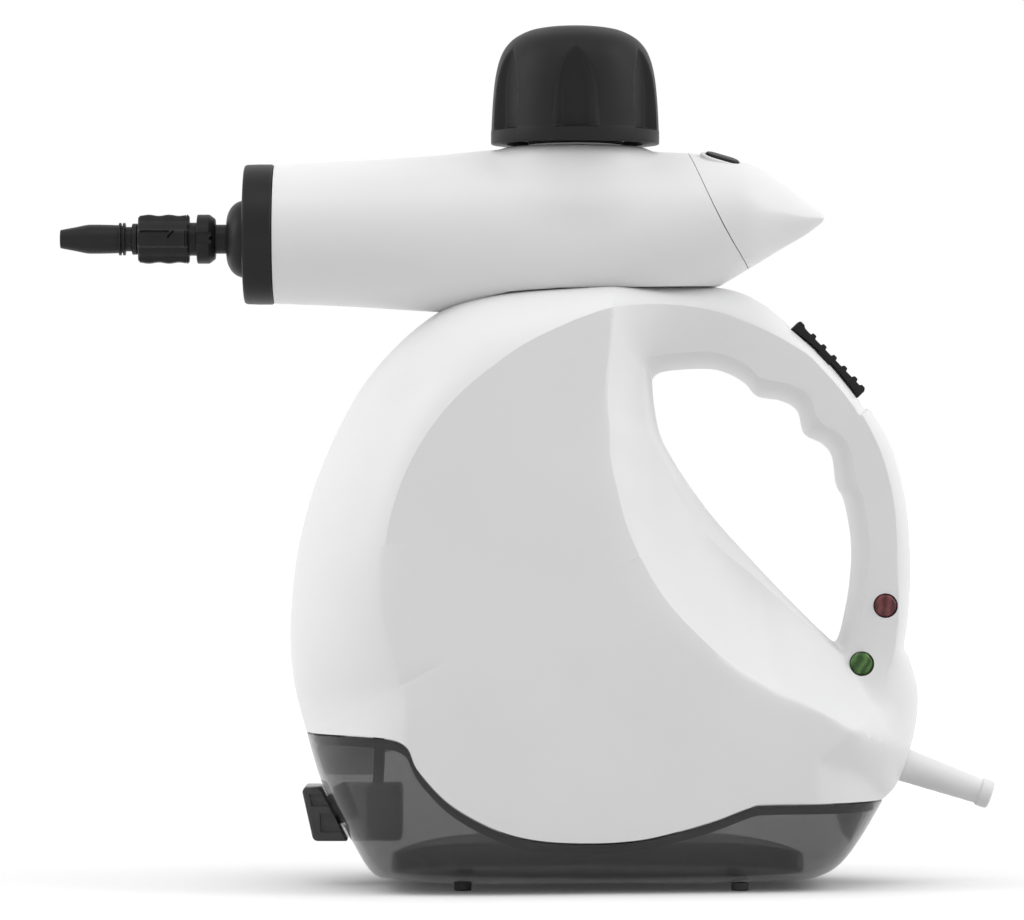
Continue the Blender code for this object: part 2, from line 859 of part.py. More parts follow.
def boiler_shelf(side, steps=8):
    """A rib across the half, with a round gap that leaves the boiler's base free."""
    top = shelf_z()
    low_x, high_x = boiler_x - shelf_front, boiler_x + shelf_rear
    gap = clearance / 2
    outline = []
    for k in range(steps + 1):
        x = mix(low_x, high_x, k / steps)
        outline.append((x, side * (half_depth(x, top) - shell_wall * 0.6)))
    outline.append((high_x, side * gap))
    for k in range(2 * steps + 1):
        angle = math.pi * k / (2 * steps)
        y = max(shelf_hole * math.sin(angle), gap)
        outline.append((boiler_x + shelf_hole * math.cos(angle), side * y))
    outline.append((low_x, side * gap))
    return prism(outline, top - shelf_thickness, top)


def window(low, high):
    """The way between body and barrel: square round the boiler's neck, a slot for pipe and hose ahead."""
    w, s = window_half_width, slot_half_width
    outline = [(boiler_x - slot_front, -s), (boiler_x - w, -s), (boiler_x - w, -w), (boiler_x + w, -w),
               (boiler_x + w, w), (boiler_x - w, w), (boiler_x - w, s), (boiler_x - slot_front, s)]
    return prism(outline, low, high)


def shell_cuts(side):
    """Screw bores, the window under the barrel, the trigger's slot, lamp holes and the cord outlet."""
    parts = []
    for share in screw_places_share:
        x, z = side_point(share)
        depth = boss_end(x, z, boss_radius, 1.0)
        if side < 0:
            bore = rod(screw_radius + clearance, -overrun, screw_length / 2 + overrun, 10)
            parts.append(sideways(bore, x, z, side))
            continue
        well = screw_head_radius + clearance
        bottom = min(screw_length / 2, depth - screw_head - clearance)
        far = half_depth(x, z) + 2 * overrun
        shank = screw_radius + clearance
        parts.append(sideways(turned([(0, -overrun), (shank, -overrun), (shank, bottom), (well, bottom),
                                      (well, far), (0, far)], 12), x, z, side))
    top = foot_height + body_height
    parts.append(window(top - 4 * overrun, top + overrun))
    length, width = trigger_length / 2 + 2 * clearance, trigger_half_width + 2 * clearance
    slot = block((-length, -width, -trigger_slot_depth), (length, width, 2 * overrun))
    parts.append(placed(slot, trigger_frame()))
    parts.append(placed(rod(boot_radius + clearance, -boot_hole_depth, 2 * overrun), boot_frame()))
    parts.append(placed(rod(hose_radius + clearance, -2 * overrun, 3 * overrun),
                        Matrix.Translation((hose_x, 0, hose_floor_z))))
    if side < 0:
        for offset in (-clamp_spacing, clamp_spacing):
            x, z = clamp_point(offset)
            bore = rod(clamp_screw_radius + clearance, -overrun, clamp_screw_depth + overrun / 3, 10)
            parts.append(sideways(bore, x, z, side))
        for x, z in ((red_lens_x, red_lens_z), (green_lens_x, green_lens_z)):
            far = half_depth(x, z)
            hole = rod(lens_radius + clearance, far - 4 * overrun, far + 2 * overrun)
            parts.append(sideways(hole, x, z, side))
    return joined(parts)


def make_shells():
    lines = shell_lines()
    outer = shell_rings(lines, 0.0, outer_steps_share)
    inner = shell_rings(moved_in(lines, shell_wall), shell_wall, inner_steps_share)
    for name, side in (("body_shell_left", -1), ("body_shell_right", 1)):
        mesh = skin(outer + inner[::-1], closed=True)
        placed(mesh, Matrix.Diagonal((1, -side, 1, 1)))
        shell = add_piece(name, mesh, "white", sharp=28.0)
        combine(shell, shell_additions(side), "UNION")
        combine(shell, shell_cuts(side), "DIFFERENCE")


def make_shell_screws():
    for number, share in enumerate(screw_places_share, 1):
        x, z = side_point(share)
        depth = boss_end(x, z, boss_radius, 1.0)
        bottom = min(screw_length / 2, depth - screw_head - clearance)
        mesh = turned([(0, bottom - screw_length), (screw_radius, bottom - screw_length),
                       (screw_radius, bottom + clearance), (screw_head_radius, bottom + clearance),
                       (screw_head_radius, bottom + screw_head), (0, bottom + screw_head)], 10)
        add_piece("shell_screw_%d" % number, sideways(mesh, x, z, 1), "steel")


barrel_table = smooth_table(barrel_share, 5)
body_top_line = sorted(p for p in silhouette if p[1] > foot_height + 0.80 * body_height)


def barrel_end(angle):
    return barrel_end_share - barrel_end_slant_share * math.sin(angle)


def body_top(x, y):
    """Height of the body's top at a distance from the middle plane, or nothing where it has none."""
    if not body_top_line[0][0] < x < body_top_line[-1][0]:
        return None
    high = table_value(body_top_line, x)
    low = high - 0.25 * body_height
    if half_depth(x, mix(high, low, 0.5)) < abs(y):
        return None
    for _ in range(14):
        middle = (low + high) / 2
        if half_depth(x, middle) > abs(y):
            low = middle
        else:
            high = middle
    return high


def barrel_point(share, angle, inset):
    top, bottom, side = (table_value(barrel_table, share, c) * barrel_radius for c in (1, 2, 3))
    x = barrel_front_x + share * barrel_length
    y = max(side - inset, 0) * math.cos(angle)
    z = barrel_axis_z + (top - bottom) / 2 + max((top + bottom) / 2 - inset, 0) * math.sin(angle)
    if math.sin(angle) < 0 and share < barrel_end_share + 0.1:
        seat = body_top(x, y)
        if seat is not None:
            z = max(z, seat + saddle_gap + inset)
    return x, y, z


def make_barrel():
    angles = [math.tau * k / barrel_segments for k in range(barrel_segments)]
    rings = []
    for inset in (0.0, barrel_wall):
        run = [[barrel_point(barrel_end(a) * i / barrel_stations, a, inset) for a in angles]
               for i in range(barrel_stations + 1)]
        rings += run if inset == 0 else run[::-1]
    barrel = add_piece("barrel_shell", skin(rings, closed=True), "white")
    top = barrel_axis_z + neck_boss_top
    inner = neck_boss_radius - neck_boss_wall
    boss = turned([(neck_boss_radius, top - neck_boss_depth), (neck_boss_radius, top),
                   (neck_radius + clearance, top), (neck_radius + clearance, top - neck_boss_wall),
                   (inner, top - neck_boss_wall), (inner, top - neck_boss_depth)], 28)
    combine(barrel, placed(boss, Matrix.Translation((boiler_x, 0, 0))), "UNION")
    body_peak = foot_height + body_height
    hole = placed(rod(neck_radius + 2 * clearance, top - 5 * overrun, top + overrun, 24),
                  Matrix.Translation((boiler_x, 0, 0)))
    combine(barrel, joined([window(body_peak - 3 * overrun, body_peak + 2.4 * overrun), hole]), "DIFFERENCE")


tail_stations_share = [0.0, 0.18, 0.38, 0.58, 0.76, 0.90, 0.975]


def button_frame():
    out = (math.sin(button_slope) * math.cos(button_tilt), -math.sin(button_tilt),
           math.cos(button_slope) * math.cos(button_tilt))
    return frame((button_x, button_side, button_z), out, (1, 0, 0))


def make_tail():
    angles = [math.tau * k / barrel_segments for k in range(barrel_segments)]
    gap = clearance / barrel_length
    rings = []
    for inset in (0.0, barrel_wall):
        tip = 1.0 - inset * 2.2 / barrel_length
        run = []
        for share in tail_stations_share:
            run.append([barrel_point(mix(barrel_end(a) + gap, tip, share), a, inset) for a in angles])
        rings.append((run, barrel_point(tip, math.pi / 2, inset)))
    (outer, outer_tip), (inner, inner_tip) = rings
    mesh = skin(outer[::-1] + inner, start=outer_tip, end=inner_tip)
    tail = add_piece("tail_cover", mesh, "white")
    sleeve = pill(button_length + 2 * (sleeve_wall + clearance), button_width + 2 * (sleeve_wall + clearance),
                  -sleeve_depth, sleeve_rise)
    combine(tail, placed(sleeve, button_frame()), "UNION")
    hole = pill(button_length + 2 * clearance, button_width + 2 * clearance,
                -sleeve_depth - overrun, overrun)
    combine(tail, placed(hole, button_frame()), "DIFFERENCE")


def make_button():
    low = button_proud - button_height
    cap = pill(button_length, button_width, low, button_proud)
    bmesh.ops.bevel(cap, geom=[e for e in cap.edges if all(v.co.z > 0 for v in e.verts)],
                    offset=edge_bevel, segments=2, profile=0.5, affect="EDGES")
    button = add_piece("detergent_button", placed(cap, button_frame()), "black",
                       pivot=(button_x, button_side, button_z))
    stem = placed(rod(stem_radius, low - stem_length, low + clearance, 16), button_frame())
    combine(button, placed(stem, Matrix.Translation((-button_x, -button_side, -button_z))), "UNION")
    button.modifiers["Union"].object.location = (button_x, button_side, button_z)
    pump_top = -sleeve_depth - clearance
    shank = stem_radius + clearance
    pump = turned([(0, pump_top - pump_length), (pump_radius * 0.7, pump_top - pump_length),
                   (pump_radius, pump_top - pump_length * 0.8), (pump_radius, pump_top),
                   (shank, pump_top), (shank, pump_top - pump_bore_depth),
                   (0, pump_top - pump_bore_depth)], 18)
    add_piece("detergent_pump", placed(pump, button_frame()), "nylon")
    spring = coil(button_spring_radius, wire_radius, pump_top + clearance, low - clearance, 4)
    add_piece("detergent_button_spring", placed(spring, button_frame()), "steel",
              pivot=(button_x, button_side, button_z))


def thread_wave(angle, z):
    return thread_height / 2 * math.cos(math.tau * z / thread_pitch - angle)


thread_top_z = neck_top_z - thread_lead


def thread_rows(radius, end_radius, low, high, fade_rows=1):
    """Profile rows along a thread; the first and the last are plain and clear of the other thread."""
    count = round((high - low) / thread_pitch * thread_rows_per_pitch)
    rows = []
    for i in range(count + 1):
        plain = i < fade_rows or i > count - fade_rows
        rows.append((end_radius if plain else radius, mix(low, high, i / count), 0 if plain else 1))
    return rows


def make_boiler():
    r, wall, low = boiler_radius, boiler_wall, boiler_bottom_z
    top = low + boiler_height
    neck_bore = thread_radius + thread_clearance
    flange_top = low + boiler_flange
    shoulder_rows_share = [(1.0, 0.82), (0.92, 0.92), (0.72, 0.985)]
    profile = [(r - wall, low), (boiler_flange_radius, low), (boiler_flange_radius, flange_top),
               (r, flange_top)]
    profile += [(r * a, low + boiler_height * b) for a, b in shoulder_rows_share]
    profile += [(neck_radius, top), (neck_radius, neck_top_z)]
    relief = neck_bore + thread_height / 2
    thread = thread_rows(neck_bore, relief, thread_top_z - thread_length, thread_top_z)
    profile += [(relief, neck_top_z)] + thread[::-1] + [(relief, top - wall)]
    profile += [((r - wall) * a, low + boiler_height * b - wall) for a, b in shoulder_rows_share[::-1]]
    mesh = placed(turned(profile, 24, thread_wave), Matrix.Translation((boiler_x, 0, 0)))
    vessel = add_piece("boiler_vessel", mesh, "aluminium")
    combine(vessel, bolt_cuts(low - overrun, flange_top + overrun), "DIFFERENCE")
    gasket_z = low - clearance - gasket_thickness
    gasket = tube(r - wall, boiler_flange_radius, gasket_z, low - clearance, 24)
    gasket = add_piece("boiler_gasket", placed(gasket, Matrix.Translation((boiler_x, 0, 0))), "silicone")
    combine(gasket, bolt_cuts(gasket_z - overrun, low + overrun), "DIFFERENCE")
    make_base(gasket_z - clearance)


def bolt_places():
    for k in range(4):
        angle = math.tau * (k + 0.5) / 4
        yield boiler_x + bolt_circle * math.cos(angle), bolt_circle * math.sin(angle)


def bolt_cuts(low, high):
    return joined([placed(rod(bolt_radius + clearance, low, high, 8), Matrix.Translation((x, y, 0)))
                   for x, y in bolt_places()])


def make_base(top):
    low = top - base_thickness
    groove = base_thickness * 0.35
    plateau = boiler_radius - boiler_wall - 2 * clearance
    profile = [(0, low), (heater_ring - heater_wire, low), (heater_ring - heater_wire, low - groove),
               (heater_ring + heater_wire, low - groove), (heater_ring + heater_wire, low),
               (boiler_flange_radius, low), (boiler_flange_radius, top), (plateau, top),
               (plateau, top + base_thickness * 0.4), (0, top + base_thickness * 0.4)]
    mesh = placed(turned(profile, 24), Matrix.Translation((boiler_x, 0, 0)))
    base = add_piece("boiler_base", mesh, "aluminium")
    combine(base, bolt_cuts(low - overrun, top + overrun), "DIFFERENCE")
    head_z = boiler_bottom_z + boiler_flange + clearance
    for number, (x, y) in enumerate(bolt_places(), 1):
        bolt = turned([(0, low + clearance), (bolt_radius, low + clearance), (bolt_radius, head_z),
                       (bolt_head_radius, head_z), (bolt_head_radius, head_z + bolt_head),
                       (0, head_z + bolt_head)], 10)
        add_piece("boiler_bolt_%d" % number, placed(bolt, Matrix.Translation((x, y, 0))), "steel")
    under = low - clearance
    cup = turned([(0, under - thermostat_height), (thermostat_radius * 0.8, under - thermostat_height),
                  (thermostat_radius, under - thermostat_height * 0.7), (thermostat_radius, under),
                  (0, under)], 24)
    add_piece("thermostat", placed(cup, Matrix.Translation((boiler_x, 0, 0))), "steel")
    fuse = sideways(rod(fuse_radius, -fuse_half_length, fuse_half_length, 16),
                    boiler_x - thermostat_radius - 2 * fuse_radius, under - fuse_radius)
    add_piece("thermal_fuse", fuse, "brass")


def cap_axis(z=0.0):
    return (boiler_x, 0, z)


def make_cap():
    rim = cap_bottom_z
    inner_radius = cap_radius - cap_wall - flute_depth
    ceiling = rim + cap_height - 1.6 * cap_wall
    hub_bottom = ceiling - hub_height * 0.75
    rings = []
    segments = flute_count * 8
    for r_share, z_share in cap_share:
        ring = []
        reach = ease((0.75 - z_share) / 0.16) * (1 if z_share > 0.11 else 0)
        for k in range(segments):
            angle = math.tau * k / segments
            turn = (angle * flute_count / math.tau + 0.5) % 1 - 0.5
            lobe = ease((flute_width_share - abs(turn)) / 0.12)
            r = cap_radius * r_share - flute_depth * lobe * reach
            ring.append((r * math.cos(angle), r * math.sin(angle), rim + cap_height * z_share))
        rings.append(ring)
    sleeve = hub_radius + clearance
    for r, z in ((inner_radius, rim), (inner_radius, mix(rim, ceiling, 0.6)), (inner_radius * 0.72, ceiling),
                 (sleeve + hub_wall, ceiling), (sleeve + hub_wall, hub_bottom), (sleeve, hub_bottom),
                 (sleeve, ceiling)):
        rings.append([(r * math.cos(math.tau * k / segments), r * math.sin(math.tau * k / segments), z)
                      for k in range(segments)])
    knob = skin(rings, start=(0, 0, rim + cap_height), end=(0, 0, ceiling))
    turn = Matrix.Translation(cap_axis()) @ Matrix.Rotation(math.pi / 2, 4, "Z")
    add_piece("safety_cap_knob", placed(knob, turn), "black", pivot=cap_axis(rim))
    seal_z = neck_top_z + clearance
    flange_z = seal_z + seal_thickness + clearance
    hub_top = min(flange_z + flange_thickness + hub_height, ceiling - overrun)
    root_radius = thread_radius - thread_height
    plug_low = thread_top_z - thread_length - plug_reach
    rows = thread_rows(thread_radius, thread_radius - thread_height / 2, thread_top_z - thread_length,
                       thread_top_z)
    profile = [(0, plug_low), (root_radius, plug_low), (root_radius, rows[0][1] - thread_lead)] + rows
    profile += [(root_radius, seal_z), (root_radius, flange_z), (flange_radius, flange_z),
                (flange_radius, flange_z + flange_thickness), (hub_radius, flange_z + flange_thickness),
                (hub_radius, hub_top), (0, hub_top)]
    move = Matrix.Translation(cap_axis())
    add_piece("safety_cap_plug", placed(turned(profile, 24, thread_wave), move), "nylon", pivot=cap_axis(rim))
    seal = tube(root_radius + clearance, neck_radius, seal_z, seal_z + seal_thickness, 28)
    add_piece("safety_cap_seal", placed(seal, move), "silicone", pivot=cap_axis(rim))
    spring = coil(cap_spring_radius, cap_spring_wire, flange_z + flange_thickness + clearance,
                  ceiling - clearance, 4, 9)
    add_piece("safety_cap_spring", placed(spring, move), "steel", pivot=cap_axis(rim))


def forward_frame(x, z):
    """Z of the shape points forward, to -X."""
    return frame((x, 0, z), (-1, 0, 0), (0, 0, 1))


def make_nozzle():
    front = -barrel_front_x
    collar = turned([(base_tail_radius + clearance, -collar_spigot), (collar_radius * 0.86, -collar_spigot),
                     (collar_radius * 0.86, clearance), (collar_radius, clearance),
                     (collar_radius, collar_thickness - edge_bevel),
                     (collar_radius - edge_bevel, collar_thickness),
                     (base_tail_radius + clearance, collar_thickness)], 24)
    part = add_piece("front_collar", placed(collar, forward_frame(-front, barrel_axis_z)), "black")
    dome_rows_share = [(1.0, 0.0), (0.96, 0.25), (0.84, 0.55), (0.64, 0.83), (0.46, 1.0)]
    dome = turned([(0, -overrun)] + [(dome_radius, -overrun)]
                  + [(dome_radius * a, dome_height * b) for a, b in dome_rows_share] + [(0, dome_height)], 18)
    combine(part, placed(dome, forward_frame(-front - collar_thickness, nozzle_axis_z)), "UNION")
    bore = turned([(0, -4 * overrun), (base_tail_radius + clearance, -4 * overrun),
                   (base_tail_radius + clearance, collar_thickness + dome_height * 0.4),
                   (base_collar_radius + clearance, collar_thickness + dome_height * 0.4),
                   (base_collar_radius + clearance, collar_thickness + 2 * dome_height),
                   (0, collar_thickness + 2 * dome_height)], 16)
    combine(part, placed(bore, forward_frame(-front, nozzle_axis_z)), "DIFFERENCE")
    make_nozzle_base(-front - collar_thickness - dome_height * 0.4)
    make_grip()


def make_nozzle_base(seat_x):
    rear = -nozzle_flange_thickness
    seat = -(seat_x - nozzle_flange_x) + clearance
    tail = -(base_tail_end - nozzle_flange_x)
    profile = [(steam_bore, tail), (base_tail_radius, tail), (base_tail_radius, seat),
               (base_collar_radius, seat), (base_collar_radius, rear), (nozzle_flange_radius * 0.8, rear),
               (nozzle_flange_radius, rear + nozzle_flange_chamfer), (nozzle_flange_radius, 0),
               (spigot_radius, 0), (spigot_radius, spigot_length), (steam_bore, spigot_length)]
    mesh = placed(turned(profile, 18), forward_frame(nozzle_flange_x, nozzle_axis_z))
    base = add_piece("nozzle_base", mesh, "black", pivot=(nozzle_flange_x, 0, nozzle_axis_z))
    lugs = [block((-lug_width / 2, sign * steam_bore * 1.6, lug_distance),
                  (lug_width / 2, sign * lug_reach, lug_distance + lug_length)) for sign in (1, -1)]
    lug_mesh = placed(joined(lugs), forward_frame(0, 0))
    combine(base, lug_mesh, "UNION")
    base.modifiers["Union"].object.location = (nozzle_flange_x, 0, nozzle_axis_z)
    seal_z = spigot_length + clearance
    seal = tube(steam_bore, spigot_radius, seal_z, seal_z + nozzle_seal_length, 18)
    add_piece("nozzle_seal", placed(seal, forward_frame(nozzle_flange_x, nozzle_axis_z)), "silicone")


def make_grip():
    """The finned grip, whose bore takes the base's spigot and whose slots and groove take its lugs."""
    length = grip_rear_x - grip_front_x
    bore = spigot_radius + clearance
    neck = nozzle_flange_x - grip_rear_x
    step = spigot_length + nozzle_seal_room - neck
    rear = clearance - neck
    fins = fin_count * 4
    rings = []
    rows = [(grip_neck, rear, 0), (grip_neck, 0, 0), (grip_core, 0, 1),
            (grip_core, length * 0.30, 1), (grip_core, length * 0.34, 0.35), (grip_core, length * 0.42, 0.35),
            (grip_core, length * 0.46, 1), (grip_core, length * 0.88, 1), (grip_core, length, 0.4)]
    front_bore = jet_radius * 0.85
    bore_rows = [(front_bore, length, 0), (front_bore, step + edge_bevel, 0), (bore, step, 0),
                 (bore, rear, 0)]
    for r, z, fin in rows + bore_rows:
        ring = []
        for k in range(fins):
            angle = math.tau * k / fins
            lift = (grip_radius - grip_core) * fin * ease(0.5 + 0.75 * math.cos(fin_count * angle))
            ring.append(((r + lift) * math.cos(angle), (r + lift) * math.sin(angle), z))
        rings.append(ring)
    mesh = placed(skin(rings, closed=True), forward_frame(grip_rear_x, nozzle_axis_z))
    grip = add_piece("nozzle_grip", mesh, "black", pivot=(grip_rear_x, 0, nozzle_axis_z))
    groove_low = lug_distance - neck - 2 * clearance
    reach = lug_reach + clearance
    groove = rod(reach, groove_low, groove_low + lug_length + 4 * clearance, 30)
    half = lug_width / 2 + clearance
    entry = placed(block((-half, -reach, rear - overrun), (half, reach, groove_low + clearance)),
                   Matrix.Rotation(-bayonet_turn, 4, "Z"))
    combine(grip, placed(groove, forward_frame(0, 0)), "DIFFERENCE")
    grip.modifiers["Difference"].name = "Groove"
    grip.modifiers["Groove"].object.location = (grip_rear_x, 0, nozzle_axis_z)
    combine(grip, placed(entry, forward_frame(0, 0)), "DIFFERENCE")
    grip.modifiers["Difference"].object.location = (grip_rear_x, 0, nozzle_axis_z)
    make_jet(step)


def make_jet(step):
    length = grip_front_x - jet_tip_x
    stub = grip_rear_x - grip_front_x - step - jet_gap
    rows_share = [(0.62, 1.0), (1.0, 0.655), (0.96, 0.245), (1.10, 0.240), (1.10, 0.215), (0.92, 0.205),
                  (1.10, 0.195), (1.10, 0.165), (0.82, 0.155), (0.82, 0.085), (1.05, 0.080), (1.05, 0.012)]
    outer = [(jet_radius * a, length * b) for a, b in rows_share]
    stub_radius = jet_radius * 0.85 - clearance
    profile = [(jet_bore, length)] + outer
    profile += [(stub_radius, length * 0.012), (stub_radius, -stub), (jet_bore, -stub)]
    add_piece("jet_nozzle", placed(turned(profile[::-1], 16), forward_frame(grip_front_x, nozzle_axis_z)),
              "black", pivot=(grip_front_x, 0, nozzle_axis_z))


def make_steam_path():
    block_mesh = soft_block((valve_front_x, -valve_half_width, valve_low_z),
                            (valve_rear_x, valve_half_width, valve_high_z), block_bevel)
    valve = add_piece("steam_valve", block_mesh, "brass")
    inlet_x = (valve_front_x + valve_rear_x) / 2
    seat = boiler_bottom_z + boiler_height * 0.985
    inlet = rod(inlet_radius, seat + clearance, valve_low_z + overrun, 20)
    combine(valve, placed(inlet, Matrix.Translation((inlet_x, 0, 0))), "UNION")
    pipe = tube(steam_bore, pipe_radius, clearance, valve_front_x - base_tail_end - clearance, 20)
    add_piece("steam_pipe", placed(pipe, forward_frame(valve_front_x, nozzle_axis_z)), "steel")


def make_trigger():
    half = trigger_length / 2
    body = trigger_thickness / 2
    lip = trigger_lip / 2
    lip_run = trigger_lip_run
    outline = [(-half, -lip), (-half, lip), (-half + lip_run, lip), (-half + 1.4 * lip_run, body)]
    pitch = (trigger_length - 2.8 * lip_run) / rib_count
    for k in range(rib_count):
        start = -half + 1.4 * lip_run + pitch * k
        outline += [(start + 0.25 * pitch, body), (start + 0.35 * pitch, body + rib_height),
                    (start + 0.75 * pitch, body + rib_height), (start + 0.85 * pitch, body)]
    outline += [(half - 1.4 * lip_run, body), (half - lip_run, lip), (half, lip), (half, -lip)]
    outline += [(half - 2 * lip_run, -body * 0.6), (stem_rear, -body * 0.4), (stem_rear, -stem_reach),
                (-stem_front, -stem_reach), (-stem_front, -body * 0.4), (-half + 2 * lip_run, -body * 0.6)]
    mesh = prism(outline, -trigger_half_width, trigger_half_width)
    turn = Matrix(((1, 0, 0, 0), (0, 0, -1, 0), (0, 1, 0, 0), (0, 0, 0, 1)))
    add_piece("steam_trigger", placed(placed(mesh, turn), trigger_frame()), "black",
              pivot=(trigger_x, 0, trigger_z))
    switch = soft_block((-switch_front, -switch_half_width, -switch_low),
                        (switch_rear, switch_half_width, -switch_top), edge_bevel)
    part = add_piece("trigger_switch", placed(switch, trigger_frame()), "grey")
    button = block((-plunger_length, -plunger_half_width, -switch_top - overrun / 3),
                   (0, plunger_half_width, -switch_top + edge_bevel))
    combine(part, placed(button, trigger_frame()), "UNION")
    spring = coil(trigger_spring_radius, wire_radius, -spring_seat + spring_shelf + clearance,
                  -body * 0.6 - 2 * clearance, 4)
    placed(spring, Matrix.Translation((spring_along, 0, 0)))
    add_piece("trigger_spring", placed(spring, trigger_frame()), "steel", pivot=(trigger_x, 0, trigger_z))


def make_lamps():
    for colour, x, z in (("red", red_lens_x, red_lens_z), ("green", green_lens_x, green_lens_z)):
        face = half_depth(x, z) + lens_rise
        back = face - lens_depth
        bore = lamp_radius + clearance
        under = face - lens_thickness
        lens = turned([(0, face), (lens_radius * 0.75, face), (lens_radius, face - edge_bevel),
                       (lens_radius, back), (bore, back), (bore, under), (0, under)], 20)
        add_piece(colour + "_lens", sideways(lens, x, z, -1), colour)
        lamp = rod(lamp_radius, under - clearance - lamp_length, under - clearance, 14)
        add_piece(colour + "_lamp", sideways(lamp, x, z, -1), "grey")


def lowest(x, inset):
    """Lowest height of the tank's silhouette at a length, moved in by a wall."""
    high = table_value(seam_line, x)
    low = foot_height - body_height * 0.1
    for _ in range(30):
        middle = (low + high) / 2
        if outer_gap(x, middle) > inset:
            high = middle
        else:
            low = middle
    return high


hull_rows_share = [1.0, 0.55, 0.20, 0.06, 0.010]
hull_tip_share = 0.35


def hull(inset, drop):
    """Sections across the tank from its front tip to its rear tip, and the two tips."""
    tips = []
    for end in (0, 1):
        line_end = seam_line[0][0] if end == 0 else seam_line[-1][0]
        middle_x = 0.0
        near, far = middle_x, line_end
        for _ in range(30):
            x = (near + far) / 2
            if outer_gap(x, table_value(seam_line, x) - drop) > inset:
                near = x
            else:
                far = x
        tips.append(near)
    stations = []
    middle = [p[0] for p in seam_line[1:-1]]
    first = mix(tips[0], middle[0], hull_tip_share)
    last = mix(tips[1], middle[-1], hull_tip_share)
    front, rear = mix(tips[0], first, hull_tip_share), mix(tips[1], last, hull_tip_share)
    for x in [front, first] + middle + [last, rear]:
        top = table_value(seam_line, x) - drop
        bottom = lowest(x, inset)
        side = []
        for row in hull_rows_share:
            z = mix(bottom, top, row)
            side.append((x, -half_depth(x, z, inset), z))
        stations.append(side + [(x, 0, bottom)] + [(px, -py, pz) for px, py, pz in side[::-1]])
    poles = [(x, 0, table_value(seam_line, x) - drop) for x in tips]
    return stations, poles


def hull_mesh():
    """The tank as a tub: outer hull, inner hull and a rim between them."""
    drop = 2 * clearance
    mesh = bmesh.new()
    rims = []
    for inset, flip in ((0.0, False), (tank_wall, True)):
        stations, poles = hull(inset, drop)
        rows = [[mesh.verts.new(p) for p in row] for row in stations]
        tips = [mesh.verts.new(p) for p in poles]
        for a, b in zip(rows, rows[1:]):
            for i in range(len(a) - 1):
                mesh.faces.new((a[i], a[i + 1], b[i + 1], b[i]))
        for row, tip in ((rows[0], tips[0]), (rows[-1], tips[1])):
            for i in range(len(row) - 1):
                mesh.faces.new((row[i], row[i + 1], tip))
        rims.append([tips[0]] + [row[0] for row in rows] + [tips[1]] + [row[-1] for row in rows[::-1]])
    outer, inner = rims
    for i in range(len(outer)):
        j = (i + 1) % len(outer)
        mesh.faces.new((outer[i], outer[j], inner[j], inner[i]))
    bmesh.ops.recalc_face_normals(mesh, faces=mesh.faces)
    return mesh


def stopper_frame():
    out = (-math.cos(stopper_slope), 0, -math.sin(stopper_slope))
    return frame((stopper_x, 0, stopper_z), out, (0, 1, 0))


def foot_places():
    for end, x in (("front", foot_front_x), ("rear", foot_rear_x)):
        for side, y in (("left", -foot_side), ("right", foot_side)):
            yield "foot_%s_%s" % (end, side), x, y


def make_tank():
    tank = add_piece("detergent_tank", hull_mesh(), "smoke", sharp=28.0)
    neck = rod(plug_radius + clearance + tank_neck_wall, -tank_neck_length, -tank_neck_start, 20)
    combine(tank, placed(neck, stopper_frame()), "UNION")
    cuts = [placed(rod(plug_radius + clearance, -tank_neck_length - overrun, overrun, 20), stopper_frame())]
    for _, x, y in foot_places():
        seat = rod(foot_radius + clearance, -overrun, foot_seat_z, 12)
        cuts.append(placed(seat, Matrix.Translation((x, y, 0))))
    combine(tank, joined(cuts), "DIFFERENCE")
    for name, x, y in foot_places():
        foot = turned([(0, 0), (foot_radius * 0.9, 0), (foot_radius, foot_chamfer),
                       (foot_radius, foot_seat_z - clearance), (0, foot_seat_z - clearance)], 12)
        add_piece(name, placed(foot, Matrix.Translation((x, y, 0))), "rubber")
    make_stopper()


def make_stopper():
    low = stopper_gap
    high = low + stopper_thickness
    block_mesh = soft_block((-stopper_width / 2, -stopper_height / 2, low),
                            (stopper_width / 2, stopper_height / 2, high), block_bevel)
    pivot = (stopper_x, 0, stopper_z)
    stopper = add_piece("tank_stopper", placed(block_mesh, stopper_frame()), "smoke", pivot=pivot)
    groove = plug_radius - seal_groove
    groove_low, groove_high = -plug_length * 0.62, -plug_length * 0.36
    plug = turned([(0, -plug_length), (plug_radius * 0.85, -plug_length), (plug_radius, -plug_length * 0.85),
                   (plug_radius, groove_low), (groove, groove_low), (groove, groove_high),
                   (plug_radius, groove_high), (plug_radius, low + overrun / 2), (0, low + overrun / 2)], 20)
    plug = placed(plug, stopper_frame())
    combine(stopper, placed(plug, Matrix.Translation(-Vector(pivot))), "UNION")
    stopper.modifiers["Union"].object.location = pivot
    seal = tube(groove + clearance, plug_radius - clearance / 3, groove_low + clearance,
                groove_high - clearance, 20)
    add_piece("stopper_seal", placed(seal, stopper_frame()), "rubber", pivot=pivot)


# Ways of the two hoses: shares of the body's length, half depth and height
suction_route_share = [
    (0.141, 0.000, 0.257), (0.107, 0.000, 0.339), (0.098, 0.000, 0.474), (0.121, 0.000, 0.643),
    (0.171, -0.020, 0.778), (0.226, -0.059, 0.869), (0.276, -0.088, 0.937), (0.292, -0.098, 0.985),
    (0.299, -0.176, 1.014), (0.336, -0.314, 1.033), (0.381, -0.388, 1.067), (0.455, -0.408, 1.077),
    (0.537, -0.353, 1.072), (0.587, -0.196, 1.062),
]
delivery_route_share = [
    (0.587, 0.196, 1.062), (0.537, 0.353, 1.072), (0.455, 0.408, 1.077), (0.381, 0.388, 1.081),
    (0.272, 0.294, 1.086), (0.135, 0.167, 1.081),
]


